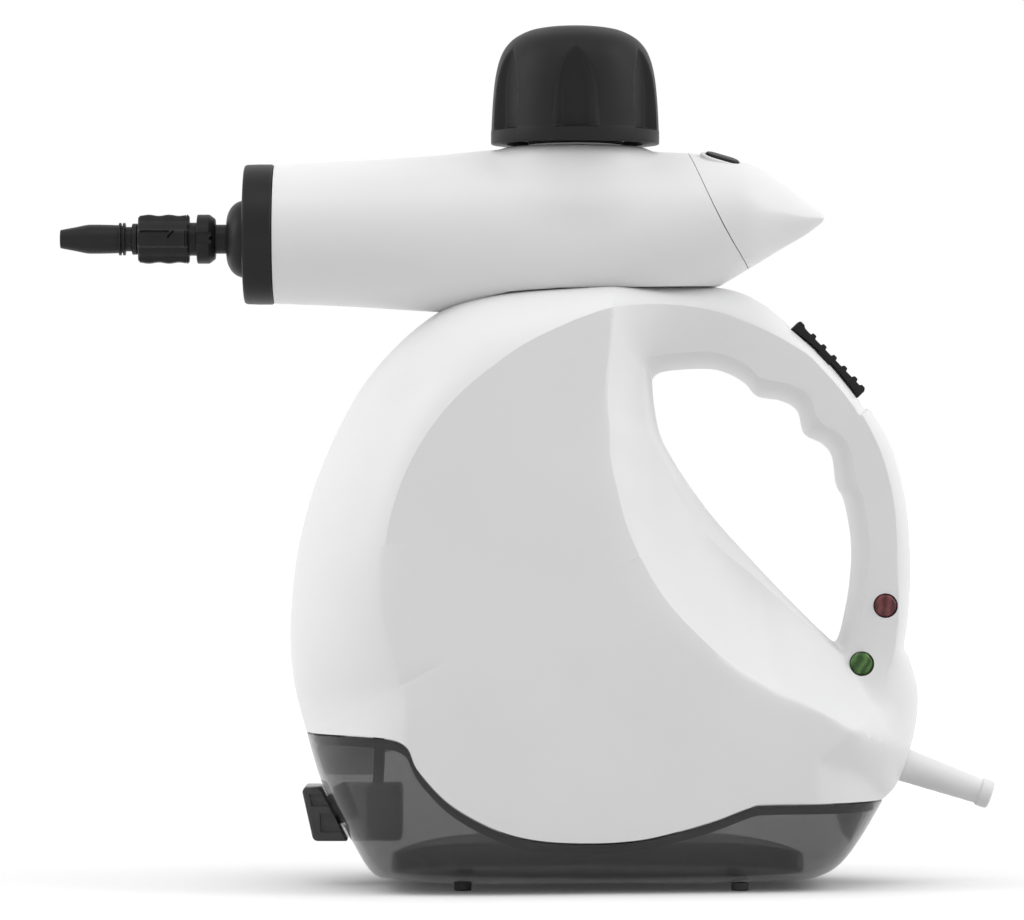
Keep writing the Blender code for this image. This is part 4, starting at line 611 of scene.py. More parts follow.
def movedIn(lines, distance):
    result = []
    for i, (outer, inner) in enumerate(lines):
        shifted = []
        for end, other, column in ((outer, inner, 0), (inner, outer, 1)):
            before, after = lines[i - 1][column], lines[(i + 1) % len(lines)][column]
            tangent = Vector((after[0] - before[0], after[1] - before[1])).normalized()
            toward = Vector((other[0] - end[0], other[1] - end[1])).normalized()
            square = abs(toward.x * tangent.y - toward.y * tangent.x)
            step = toward * distance / max(square, shell["squareLeast"])
            shifted.append((end[0] + step.x, end[1] + step.y))
        result.append(tuple(shifted))
    return result


def shellRings(lines, inset, side):
    count = sum(len(shell[key]) for key in ("band", "face", "scoop", "handle"))
    rings = [[] for _ in range(count + 4)]
    for (outer, inner), shares in zip(lines, lineShares(lines)):
        rings[0].append((outer[0], side * body["gap"], outer[1]))
        rings[1].append((outer[0], side * body["land"], outer[1]))
        for ring, s in zip(rings[2:], shares):
            x, z = mix(outer[0], inner[0], s), mix(outer[1], inner[1], s)
            ring.append((x, side * max(halfDepth(x, z, inset), body["land"]), z))
        rings[-2].append((inner[0], side * body["land"], inner[1]))
        rings[-1].append((inner[0], side * body["gap"], inner[1]))
    return rings


def sideSeat(x, z, side):
    return seat((x, 0, z), (0, side, 0), (1, 0, 0))


def shellTools(side):
    length, width = trigger["length"] / 2 + trigger["gap"], trigger["halfWidth"] + trigger["gap"]
    past, r = shell["cutPast"], boot["radius"] + lens["gap"]
    tools = [brick("slotTool", (-length, -width, -trigger["slotDepth"]), (length, width, past), triggerSeat),
             rod("bootTool", r, -shell["slotStart"], past, 48, bootSeat)]
    if side < 0:
        for lamp in lamps.values():
            far = halfDepth(*lamp["place"])
            place = sideSeat(*lamp["place"], -1)
            tools.append(rod("lampTool", lens["radius"] + lens["gap"], far - shell["lampDepth"], far + past, 48, place))
    else:
        for k in range(len(screwShare)):
            low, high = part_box("shell_screw_%d" % (k + 1))
            seatThere = sideSeat((low.x + high.x) / 2, (low.z + high.z) / 2, 1)
            tools.append(rod("wellTool", (high.x - low.x) / 2 + shell["wellGap"], high.y - shell["wellDepth"],
                             high.y + shell["wellPast"], 40, seatThere))
    return tools


def makeShells():
    lines = shellLines()
    inner = movedIn(lines, body["wall"])
    for name, node, side in (("bodyShellLeft", "body_shell_left", -1),
                             ("bodyShellRight", "body_shell_right", 1)):
        rings = shellRings(lines, 0.0, side) + shellRings(inner, body["wall"], side)[::-1]
        piece = fromRings(name, rings, closed=True)
        carve(piece, shellTools(side))
        smooth(piece, shell["smoothAngle"])
        finished(piece, "whiteShell", "housing", "white_shell", node)
    print("body shells done")


makeShells()


# Barrel and tail cover

barrel = {
    "length": 0.1922, "frontX": -0.1148 + body["shiftX"], "radius": 0.0282, "axisZ": 0.2268, "wall": 0.0022,
    "saddleGap": -0.0003, "endShare": 0.805, "slantShare": 0.055, "angles": 160, "stations": 120,
    "bossRadius": 0.0255, "bossTop": 0.0306, "bossLow": 0.0080, "bossRound": 0.0040,
    "blend": (0.0025, 0.0110), "neckRadius": 0.0168,
    "neckX": -0.0098 + body["shiftX"], "ridgeStart": 0.80, "ridgePower": 1.45,
    "neckFrom": -0.010, "neckReach": 0.02, "topSoft": 0.0012, "leastSine": 0.1, "topPast": 0.004,
}
# Share of the length, then top, bottom and side as shares of the radius
barrelShare = [
    (0.000, 0.856, 0.856, 0.856), (0.137, 0.905, 0.894, 0.900), (0.282, 0.968, 0.955, 0.960),
    (0.410, 1.050, 0.993, 1.000), (0.592, 1.062, 0.993, 1.000), (0.701, 1.020, 0.950, 1.000),
    (0.774, 0.993, 0.770, 0.950), (0.860, 0.880, 0.434, 0.820), (0.920, 0.645, 0.186, 0.550),
    (0.965, 0.410, 0.006, 0.300), (0.990, 0.285, -0.120, 0.150), (0.997, 0.243, -0.160, 0.080),
    (1.000, 0.200, -0.200, 0.000),
]
barrelTable = Table(curveThrough(barrelShare, 10))
# Lowest line of the barrel where it lies on the body
bottomLine = Table([(-0.0340, 0.1979), (-0.0167, 0.2039), (-0.0059, 0.2064), (0.0110, 0.2076),
                    (0.0387, 0.2079),
                    (0.0688, 0.2086), (0.0800, 0.2090)])
bodyTopLine = Table(sorted(p for p in silhouette if p[1] > body["footHeight"] + 0.80 * body["height"]))


def bodyTop(x, y):
    if not bodyTopLine.keys[0] < x < bodyTopLine.keys[-1]:
        return None
    high = bodyTopLine.at(x)
    low = high - 0.25 * body["height"]
    if halfDepth(x, mix(high, low, 0.5)) < abs(y):
        return None
    for _ in range(14):
        middle = (low + high) / 2
        if halfDepth(x, middle) > abs(y):
            low = middle
        else:
            high = middle
    return high


def softUnion(a, b, k):
    h = min(max(0.5 + 0.5 * (b - a) / k, 0), 1)
    return mix(b, a, h) - k * h * (1 - h)


# Lifts a point of the barrel along its ray to the soft union with the round neck
def neckRise(x, y, z, inset):
    up, reach = z - barrel["axisZ"], math.hypot(y, z - barrel["axisZ"])
    dx = x - barrel["neckX"]
    if up <= barrel["neckFrom"] or abs(dx) > barrel["bossRadius"] + barrel["neckReach"]:
        return y, z
    top = barrel["bossTop"] - inset
    cosine, sine = y / reach, up / reach
    k = mix(*barrel["blend"], abs(cosine))

    def depth(t):
        out = math.hypot(dx, t * cosine) - (barrel["bossRadius"] - inset) + barrel["bossRound"]
        above = max(t * sine - top, barrel["bossLow"] - t * sine) + barrel["bossRound"]
        boss = min(max(out, above), 0) + math.hypot(max(out, 0), max(above, 0)) - barrel["bossRound"]
        return softUnion(t - reach, boss, k)

    low, high = reach, reach + barrel["neckReach"]
    for _ in range(24):
        middle = (low + high) / 2
        if depth(middle) > 0:
            high = middle
        else:
            low = middle
    if sine > barrel["leastSine"]:
        low = max(softUnion(low, top / sine, barrel["topSoft"]), reach)
    return low * cosine, barrel["axisZ"] + low * sine


def barrelPoint(share, angle, inset):
    top, bottom, side = (barrelTable.at(share, c) * barrel["radius"] for c in (1, 2, 3))
    x = barrel["frontX"] + share * barrel["length"]
    ridge = ease((share - barrel["ridgeStart"]) / (1 - barrel["ridgeStart"]))
    power = 2 / mix(2.0, barrel["ridgePower"], ridge)
    across, up = (math.copysign(abs(v) ** power, v) for v in (math.cos(angle), math.sin(angle)))
    y = max(side - inset, 0) * across
    z = barrel["axisZ"] + (top - bottom) / 2 + max((top + bottom) / 2 - inset, 0) * up
    y, z = neckRise(x, y, z, inset)
    if math.sin(angle) < 0 and share < barrel["endShare"] + 0.1:
        base = bodyTop(x, y)
        if base is not None:
            z = max(z, base + barrel["saddleGap"] + inset)
        if bottomLine.keys[0] < x < bottomLine.keys[-1]:
            z = max(z, bottomLine.at(x) + inset)
    return x, y, z


def barrelEnd(angle):
    return barrel["endShare"] - barrel["slantShare"] * math.sin(angle)


def makeBarrel():
    angles = [math.tau * k / barrel["angles"] for k in range(barrel["angles"])]
    rings = []
    for inset in (0.0, barrel["wall"]):
        run = [[barrelPoint(barrelEnd(a) * i / barrel["stations"], a, inset) for a in angles]
               for i in range(barrel["stations"] + 1)]
        rings += run if inset == 0 else run[::-1]
    piece = fromRings("barrelShell", rings, closed=True)
    top = barrel["axisZ"] + barrel["bossTop"]
    place = Matrix.Translation((barrel["neckX"], 0, 0))
    carve(piece, [rod("neckTool", barrel["neckRadius"], top - barrel["neckReach"], top + barrel["topPast"], 64, place)])
    smooth(piece, 28)
    finished(piece, "whiteShell", "housing", "white_shell", "barrel_shell")
    print("barrel done")


makeBarrel()

button = {
    "x": barrel["frontX"] + 0.812175 * barrel["length"], "y": -0.0070, "z": 0.2527, "slope": math.radians(17),
    "tilt": math.radians(14), "length": 0.0122, "width": 0.0066, "gap": 0.0003, "wall": 0.0014,
    "rise": 0.0003,
    "proud": 0.0012, "height": 0.0036, "sleeve": 0.0120, "past": 0.003, "above": 0.004, "rimSoft": 0.0004,
    "keySoft": 0.0007, "stemRadius": 0.002, "stemEnd": -0.0184, "stemTop": -0.002,
}
buttonSeat = seat((button["x"], button["y"], button["z"]),
                  (math.sin(button["slope"]) * math.cos(button["tilt"]), -math.sin(button["tilt"]),
                   math.cos(button["slope"]) * math.cos(button["tilt"])), (1, 0, 0))


def pillOutline(length, width, steps=14):
    r = width / 2
    outline = []
    for side in (1, -1):
        for k in range(steps + 1):
            angle = math.pi * (k / steps - 0.5)
            outline.append((side * (length / 2 - r + r * math.cos(angle)), side * r * math.sin(angle)))
    return outline


tail = {
    "gap": 0.0003, "tipWall": 2.2,
    "stations": [0.0, 0.04, 0.08, 0.12, 0.18, 0.25, 0.32, 0.39, 0.46, 0.53, 0.60, 0.67, 0.73, 0.79, 0.84,
                 0.88, 0.91,
                 0.935, 0.955, 0.97, 0.98, 0.988, 0.994, 0.998],
}


def makeTail():
    angles = [math.tau * k / barrel["angles"] for k in range(barrel["angles"])]
    gap = tail["gap"] / barrel["length"]
    runs = []
    for inset in (0.0, barrel["wall"]):
        tip = 1.0 - inset * tail["tipWall"] / barrel["length"]
        rings = [[barrelPoint(mix(barrelEnd(a) + gap, tip, s), a, inset) for a in angles]
                 for s in tail["stations"]]
        runs.append((rings, barrelPoint(tip, math.pi / 2, inset)))
    (outer, outerTip), (inner, innerTip) = runs
    piece = fromRings("tailCover", outer[::-1] + inner, tips=(outerTip, innerTip))
    rim = 2 * (button["wall"] + button["gap"])
    sleeve = plate("sleeveTool", pillOutline(button["length"] + rim, button["width"] + rim),
                   -button["sleeve"], button["rise"], buttonSeat)
    bevelled(sleeve, button["rimSoft"], 2)
    carve(piece, [sleeve], "UNION")
    play = 2 * button["gap"]
    hole = plate("holeTool", pillOutline(button["length"] + play, button["width"] + play),
                 -button["sleeve"] - button["past"], button["above"], buttonSeat)
    carve(piece, [hole])
    smooth(piece, 28)
    finished(piece, "whiteShell", "housing", "white_shell", "tail_cover")
    key = plate("detergentButton", pillOutline(button["length"], button["width"]),
                button["proud"] - button["height"], button["proud"], buttonSeat)
    bevelled(key, button["keySoft"], 3)
    stem = rod("stemTool", button["stemRadius"], button["stemEnd"], button["stemTop"], 32, buttonSeat)
    carve(key, [stem], "UNION")
    smooth(key, 40)
    finished(key, "blackPlastic", "detergent_press", "black_plastic", "detergent_button")
    print("tail cover and button done")


makeTail()


# Safety cap

cap = {
    "x": barrel["neckX"], "z": 0.2583, "radius": 0.0294, "height": 0.0413, "wall": 0.0030, "steps": 360,
    "floor": 0.0250, "floorHalfWidth": 0.0046, "mouthHalfWidth": 0.0094, "ledge": 0.0049, "soft": 0.0005,
    "archStart": 0.0150, "archEnd": 0.0352, "insideGap": 0.0026, "fluteFrom": 0.0036,
    "ledgeSoft": (0.0006, 0.0009),
    "near": 0.0004,
    "flutes": 6, "hub": 0.0083, "hubWall": 0.0026, "hubDepth": 0.0195,
}
capShare = [
    (0.0, 1.0), (0.24, 0.995), (0.42, 0.980), (0.56, 0.955), (0.70, 0.905), (0.79, 0.850), (0.855, 0.785),
    (0.90, 0.710), (0.930, 0.630), (0.953, 0.540), (0.970, 0.430), (0.983, 0.310), (0.991, 0.200),
    (0.995, 0.130),
]


def capRows():
    rows = [(r * cap["radius"], z * cap["height"]) for r, z in curveThrough(capShare, 6)]
    base = [(0.995, 0.122), (0.997, 0.116), (1.0, 0.108), (1.0, 0.06), (1.0, 0.012), (0.997, 0.003),
            (0.992, 0.0)]
    rows += [(r * cap["radius"], z * cap["height"]) for r, z in base]
    ceiling = cap["height"] - 1.6 * cap["wall"]
    inside = cap["radius"] - cap["wall"] - cap["insideGap"]
    rows += [(inside, 0), (inside, ceiling * 0.6), (inside * 0.72, ceiling),
             (cap["hub"] + cap["hubWall"], ceiling),
             (cap["hub"] + cap["hubWall"], ceiling - cap["hubDepth"]),
             (cap["hub"], ceiling - cap["hubDepth"]),
             (cap["hub"], ceiling), (0, ceiling)]
    return rows


# How far out the surface may lie in a flute: a flat floor and two sloping sides, arched at the top
def fluteLimit(angle, z):
    t = (angle * cap["flutes"] / math.tau + 0.5) % 1 - 0.5
    turnAngle = abs(t) * math.tau / cap["flutes"]
    up = min(max((z - cap["archStart"]) / (cap["archEnd"] - cap["archStart"]), 0), 1)
    half = cap["floorHalfWidth"] - cap["mouthHalfWidth"] * (1 - math.sqrt(1 - up * up))
    slope = (cap["radius"] - cap["floor"]) / (cap["mouthHalfWidth"] - cap["floorHalfWidth"])
    floor = cap["floor"] / math.cos(turnAngle)
    side = (cap["floor"] - slope * half) / (math.cos(turnAngle) - slope * math.sin(turnAngle))
    if side <= 0:
        return 1.0
    return softMax(floor, side)


def softMin(a, b):
    k = cap["soft"]
    h = min(max(0.5 + 0.5 * (b - a) / k, 0), 1)
    return mix(b, a, h) - k * h * (1 - h)


def softMax(a, b):
    return -softMin(-a, -b)


def makeCap():
    piece = turn("safetyCapKnob", capRows(), cap["steps"])
    inside = cap["radius"] - cap["wall"] - cap["insideGap"]
    for v in piece.data.vertices:
        r = math.hypot(v.co.x, v.co.y)
        hidden = r < inside + cap["near"] and v.co.z < cap["height"] - 1.61 * cap["wall"]
        if r < 1e-5 or v.co.z < cap["fluteFrom"] or hidden:
            continue
        wanted = softMin(r, fluteLimit(math.atan2(v.co.y, v.co.x) + math.pi / 2, v.co.z))
        share = ease((v.co.z - cap["ledge"] + cap["ledgeSoft"][0]) / cap["ledgeSoft"][1])
        k = mix(1, wanted / r, share)
        v.co.x *= k
        v.co.y *= k
    put(piece, Matrix.Translation((cap["x"], 0, cap["z"])))
    smooth(piece, 40)
    finished(piece, "softBlack", "cap_knob", "black_plastic", "safety_cap_knob")
    print("safety cap done")


makeCap()


# Front collar, nozzle base, grip and jet nozzle

nozzle = {
    "axisZ": 0.2252, "collarRadius": 0.0245, "collarThickness": 0.0105, "spigot": 0.0040,
    "domeRadius": 0.0135,
    "domeHeight": 0.0063, "tailRadius": 0.0036,
    "flangeX": -0.1418 + body["shiftX"], "flangeThickness": 0.0063, "flangeRadius": 0.0086,
    "neckRadius": 0.0051,
    "gripRearX": -0.1446 + body["shiftX"], "gripFrontX": -0.1624 + body["shiftX"], "gripRadius": 0.0086,
    "core": 0.0071, "tipX": -0.1897 + body["shiftX"], "jetRadius": 0.0051, "bore": 0.0010,
    "spigotRadius": 0.0039,
    "spigotLength": 0.0160, "steamBore": 0.0015,
}


def forwardSeat(x, z):
    return seat((x, 0, z), (-1, 0, 0), (0, 0, 1))


def makeCollar():
    r, t = nozzle["collarRadius"], nozzle["collarThickness"]
    rows = [(0, -nozzle["spigot"]), (r * 0.86, -nozzle["spigot"]), (r * 0.86, 0.0003), (r - 0.0004, 0.0003),
            (r, 0.0008), (r * 1.0, t * 0.5), (r * 0.995, t - 0.0014), (r * 0.99, t - 0.0007),
            (r * 0.975, t - 0.0002),
            (r * 0.95, t), (r * 0.8, t), (r * 0.6, t), (0, t)]
    piece = turn("frontCollar", rows, 128, forwardSeat(barrel["frontX"], barrel["axisZ"]))
    dome = []
    for k in range(19):
        angle = math.radians(90 * k / 18)
        dome.append((mix(nozzle["neckRadius"] + 0.0009, nozzle["domeRadius"], math.cos(angle)),
                     nozzle["domeHeight"] * math.sin(angle)))
    rows = [(0, -0.003), (nozzle["domeRadius"], -0.003)] + dome + [(0, nozzle["domeHeight"])]
    tool = turn("domeTool", rows, 96, forwardSeat(barrel["frontX"] - t, nozzle["axisZ"]))
    carve(piece, [tool], "UNION")
    seatZ = t + nozzle["domeHeight"] * 0.4
    a, b = nozzle["tailRadius"] + 0.0003, nozzle["neckRadius"] + 0.0003
    bore = turn("boreTool", [(0, -0.012), (a, -0.012), (a, seatZ), (b, seatZ), (b, 0.03), (0, 0.03)], 64,
                forwardSeat(barrel["frontX"], nozzle["axisZ"]))
    carve(piece, [bore])
    smooth(piece, 30)
    finished(piece, "blackPlastic", "housing", "black_plastic", "front_collar")


def makeNozzleBase():
    rear = -nozzle["flangeThickness"]
    neck, tail, flange = nozzle["neckRadius"], nozzle["tailRadius"], nozzle["flangeRadius"]
    seatZ = -(barrel["frontX"] - nozzle["collarThickness"] - nozzle["domeHeight"] * 0.4 - nozzle["flangeX"]) + 0.0003
    tailZ = nozzle["flangeX"] - (-0.1120 + body["shiftX"])
    s, b = nozzle["spigotRadius"], nozzle["steamBore"]
    rows = [(b, tailZ), (tail, tailZ), (tail, seatZ), (neck, seatZ), (neck, rear - 0.0002),
            (flange * 0.80, rear),
            (flange * 0.83, rear + 0.0001), (flange * 0.985, rear + 0.0019), (flange, rear + 0.0023),
            (flange, -0.0003), (flange * 0.97, 0), (s, 0), (s, nozzle["spigotLength"] - 0.0004),
            (s - 0.0004, nozzle["spigotLength"]), (b, nozzle["spigotLength"]), (b, tailZ)]
    piece = turn("nozzleBase", rows, 64, forwardSeat(nozzle["flangeX"], nozzle["axisZ"]))
    hole = turn("pinTool", [(0, 0.0025), (0.0007, 0.0025), (0.0007, 0.02), (0, 0.02)], 20,
                sideSeat(nozzle["flangeX"] + nozzle["flangeThickness"] - 0.0012, nozzle["axisZ"], -1))
    flat = [brick("flatTool", (-0.002, side * 0.0088 - 0.001, rear - 0.001),
                  (0.002, side * 0.0088 + 0.001, 0.001),
                  forwardSeat(nozzle["flangeX"], nozzle["axisZ"])) for side in (1, -1)]
    lugs = [brick("lugTool", (-0.0013, min(side * 0.0024, side * 0.0050), 0.0110),
                  (0.0013, max(side * 0.0024, side * 0.0050), 0.0130),
                  forwardSeat(nozzle["flangeX"], nozzle["axisZ"])) for side in (1, -1)]
    carve(piece, [hole] + flat)
    carve(piece, lugs, "UNION")
    smooth(piece, 30)
    finished(piece, "blackPlastic", "housing", "black_plastic", "nozzle_base")


# Four broad lobes whose tops run in shallow waves
def gripRadius(angle, share):
    lobe = ease(0.5 + 1.1 * math.cos(4 * angle))
    wave = 0.5 - 0.5 * math.cos(math.tau * 2.5 * share)
    return nozzle["core"] + (nozzle["gripRadius"] - nozzle["core"]) * lobe * (1 - 0.28 * wave)


def makeGrip():
    length = abs(nozzle["gripRearX"] - nozzle["gripFrontX"])
    neck = abs(nozzle["gripRearX"] - nozzle["flangeX"])
    rear = -(neck - 0.0003)
    bore = nozzle["spigotRadius"] + 0.0003
    front = nozzle["jetRadius"] * 0.85
    step = nozzle["spigotLength"] + 0.0030 - neck
    stations = [0.0, 0.012, 0.03] + [0.05 + 0.9 * k / 30 for k in range(31)] + [0.97, 0.988, 1.0]
    count = 128
    rings = []

    def ring(radius, z):
        rings.append([(radius * math.cos(math.tau * k / count), radius * math.sin(math.tau * k / count), z)
                      for k in range(count)])

    ring(0.0058, rear)
    ring(0.0058, 0)
    for share in stations:
        soft = min(ease(share / 0.03), ease((1 - share) / 0.03))
        points = []
        for k in range(count):
            angle = math.tau * k / count
            r = mix(0.93, 1.0, soft) * gripRadius(angle, share)
            points.append((r * math.cos(angle), r * math.sin(angle), share * length))
        rings.append(points)
    ring(front, length)
    ring(front, step + 0.0006)
    ring(bore, step)
    ring(bore, rear)
    piece = fromRings("nozzleGrip", rings, closed=True)
    place = forwardSeat(nozzle["gripRearX"], nozzle["axisZ"])
    put(piece, place)
    low = 0.0110 - neck - 0.0006
    half = 0.0013 + 0.0003
    tools = [turn("grooveTool", [(0, low), (0.0053, low), (0.0053, low + 0.0032), (0, low + 0.0032)], 48,
                  place),
             brick("entryTool", (-half, -0.0053, rear - 0.003), (half, 0.0053, low + 0.0003),
                   place @ Matrix.Rotation(-math.pi / 4, 4, "Z"))]
    ring = [[(r * math.cos(math.tau * k / 48), r * math.sin(math.tau * k / 48), z) for k in range(48)]
            for r, z in ((0.0075, length * 0.055), (0.0095, length * 0.045), (0.0095, length * 0.075),
                         (0.0075, length * 0.065))]
    line = fromRings("lineTool", ring, closed=True)
    put(line, place)
    slot = brick("slotTool", (0.0020, -0.0095, length * 0.38), (0.0028, -0.0062, length * 0.94), place)
    bend = brick("bendTool", (-0.0004, -0.0095, -0.0016), (0.0004, -0.0062, 0.0016),
                 place @ Matrix.Translation((0.0014, 0,
                                             length * 0.345)) @ Matrix.Rotation(math.radians(-48), 4, "Y"))
    carve(piece, tools + [line, slot, bend])
    smooth(piece, 32)
    finished(piece, "blackPlastic", "nozzle", "black_plastic", "nozzle_grip")


def makeJet():
    length = nozzle["gripFrontX"] - nozzle["tipX"]
    r = nozzle["jetRadius"]
    rowsShare = [
        (0.60, 1.0), (0.63, 0.996), (0.70, 0.93), (0.83, 0.80), (0.93, 0.715), (0.985, 0.655), (1.0, 0.62),
        (1.0, 0.50), (0.985, 0.36), (0.965, 0.252), (1.09, 0.248), (1.12, 0.244), (1.12, 0.222),
        (1.09, 0.218),
        (0.92, 0.214), (0.92, 0.200), (1.09, 0.196), (1.12, 0.192), (1.12, 0.170), (1.09, 0.166),
        (0.84, 0.160),
        (0.84, 0.085), (1.02, 0.080), (1.07, 0.074), (1.07, 0.02), (1.02, 0.013),
    ]
    stub = (nozzle["gripRearX"] - nozzle["gripFrontX"]) - (nozzle["spigotLength"] + 0.0030 - 0.0028) - 0.0010
    stubRadius = r * 0.85 - 0.0003
    bore = nozzle["bore"]
    rows = [(bore, length - 0.0006), (bore + 0.0007, length)] + [(r * a, length * b) for a, b in rowsShare]
    rows += [(stubRadius, length * 0.012), (stubRadius, -stub), (bore, -stub), (bore, length - 0.0006)]
    piece = turn("jetNozzle", rows, 64, forwardSeat(nozzle["gripFrontX"], nozzle["axisZ"]))
    smooth(piece, 35)
    finished(piece, "blackPlastic", "nozzle", "black_plastic", "jet_nozzle")


makeCollar()
makeNozzleBase()
makeGrip()
makeJet()
print("nozzle done")


# Steam trigger and pilot lamps

def makeTrigger():
    half, middle, lip, run = trigger["length"] / 2, trigger["thickness"] / 2, trigger["lip"] / 2, trigger["lipRun"]
    outline = [(-half, -lip), (-half, lip - 0.0004), (-half + 0.0005, lip), (-half + run * 0.7, lip),
               (-half + run * 1.0, lip - 0.0006), (-half + run * 1.35, middle)]
    start, stop = -half + run * 1.35, half - run * 1.1
    pitch = (stop - start) / trigger["ribs"]
    for k in range(trigger["ribs"]):
        u = start + pitch * (k + 0.38)
        outline += [(u, middle), (u + 0.05 * pitch, middle + trigger["ribHeight"] * 0.9),
                    (u + 0.12 * pitch, middle + trigger["ribHeight"]),
                    (u + 0.30 * pitch, middle + trigger["ribHeight"]),
                    (u + 0.37 * pitch, middle + trigger["ribHeight"] * 0.9), (u + 0.42 * pitch, middle)]
    outline += [(half - run * 0.9, middle), (half - run * 0.75, lip), (half - 0.0008, lip),
                (half, lip - 0.0010),
                (half, -lip)]
    low = []
    for k in range(1, 24):
        u = mix(half, -half, k / 24)
        low.append((u, -lip + (lip - middle * 0.35) * (1 - (u / half) ** 2) ** 0.8))
    outline += low
    width = trigger["halfWidth"]
    flip = Matrix(((1, 0, 0, 0), (0, 0, -1, 0), (0, 1, 0, 0), (0, 0, 0, 1)))
    piece = plate("steamTrigger", outline, -width, width, triggerSeat @ flip)
    bevelled(piece, 0.00022, 2, 35)
    stem = brick("stemTool", (-0.0045, -width * 0.98, -0.0070), (0.0015, width * 0.98, -0.0004), triggerSeat)
    carve(piece, [stem], "UNION")
    smooth(piece, 40)
    finished(piece, "softBlack", "trigger", "black_plastic", "steam_trigger")


def makeLenses():
    r = lens["radius"]
    for name, lamp in lamps.items():
        face = halfDepth(*lamp["place"]) + lens["rise"]
        inner = 0.0033
        rows = [(0, face), (r * 0.5, face - 0.00005), (r * 0.78, face - 0.0002), (r * 0.93, face - 0.0006),
                (r, face - 0.0013), (r, face - lens["depth"]), (inner, face - lens["depth"]),
                (inner, face - lens["thickness"]), (0, face - lens["thickness"])]
        piece = turn(name, rows, 48, sideSeat(*lamp["place"], -1))
        smooth(piece, 40)
        finished(piece, name, "housing", lamp["slot"], lamp["node"])


makeTrigger()
makeLenses()
print("trigger and lenses done")


# Bend-protection boot

def makeBoot():
    r, end, length = boot["radius"], boot["endRadius"], boot["length"]
    ringStart = length - boot["ringLength"]
    rows = [(boot["bore"], -0.0056), (boot["flange"], -0.0056), (boot["flange"], -0.0038), (r, -0.0038),
            (r, 0.0)]
    for k in range(1, 12):
        t = k / 12
        rows.append((mix(r, end, t) + 0.00005 * (k % 2), ringStart * t))
    rows += [(end, ringStart), (boot["ringRadius"] - 0.0003, ringStart + 0.0003),
             (boot["ringRadius"], ringStart + 0.0007),
             (boot["ringRadius"], length - 0.0007), (boot["ringRadius"] - 0.0005, length - 0.0001),
             (boot["bore"] + 0.0004, length), (boot["bore"], length - 0.0004), (boot["bore"], -0.0056)]
    piece = turn("bendProtectionBoot", rows, 64, bootSeat)
    smooth(piece, 35)
    finished(piece, "whiteShell", "housing", "white_shell", "bend_protection_boot")


makeBoot()


# Detergent tank, its floor island, rim, stopper and feet

tank = {
    "wall": 0.0022, "drop": 0.0006, "stations": 96, "rows": [1.0, 0.9, 0.78, 0.65, 0.52, 0.40, 0.29, 0.20,
                                                             0.13, 0.075,
                                                             0.035, 0.010],
    "rimHeight": 0.0032, "rimWall": 0.0012, "middleZ": 0.028,
    "ledge": {"x": 0.0243, "halfLength": 0.0720, "halfWidth": 0.0290, "low": 0.0042, "high": 0.0162,
              "wall": 0.0018,
              "fall": 0.45},
}
studioDistance = 1.8
stopper = {
    "x": -0.0950 + body["shiftX"], "z": 0.0256, "slope": math.radians(22.0), "width": 0.0220,
    "plugRadius": 0.0054, "plugLength": 0.0085, "neckLength": 0.0082,
    "soft": 0.0009, "pocketPast": 0.002, "pocketDepth": 0.0022, "pocketSoft": 0.0004,
    "outline": [(303.4, 789), (306, 784.8), (322.2, 784.8), (349.0, 838.6), (317, 838.6), (314, 836)],
    "pockets": [[(309, 793), (322, 793), (328.5, 806), (311.5, 806)],
                [(320, 813), (333, 813), (342, 832), (320, 832)]],
}
stopperSeat = seat((stopper["x"], 0, stopper["z"]),
                   (-math.cos(stopper["slope"]), 0, -math.sin(stopper["slope"])),
                   (0, 1, 0))
seamTable = Table(seam)


def lowest(x, inset):
    high, low = seamTable.at(x), body["footHeight"] - body["height"] * 0.1
    for _ in range(30):
        middle = (low + high) / 2
        if outerGap(x, middle) > inset:
            high = middle
        else:
            low = middle
    return high


def tankSections(inset, drop):
    tips = []
    for end in (seam[0][0], seam[-1][0]):
        near, far = body["shiftX"], end
        for _ in range(30):
            x = (near + far) / 2
            if outerGap(x, seamTable.at(x) - drop) > inset:
                near = x
            else:
                far = x
        tips.append(near)
    sections = []
    for k in range(1, tank["stations"]):
        t = k / tank["stations"]
        t = mix(t, 0.5 - 0.5 * math.cos(math.pi * t), 0.55)
        x = mix(tips[0], tips[1], t)
        top, bottom = seamTable.at(x) - drop, lowest(x, inset)
        side = [(x, -halfDepth(x, mix(bottom, top, row), inset),
                 mix(bottom, top, row)) for row in tank["rows"]]
        sections.append(side + [(x, 0, bottom)] + [(px, -py, pz) for px, py, pz in side[::-1]])
    return sections, [(x, 0, seamTable.at(x) - drop) for x in tips]


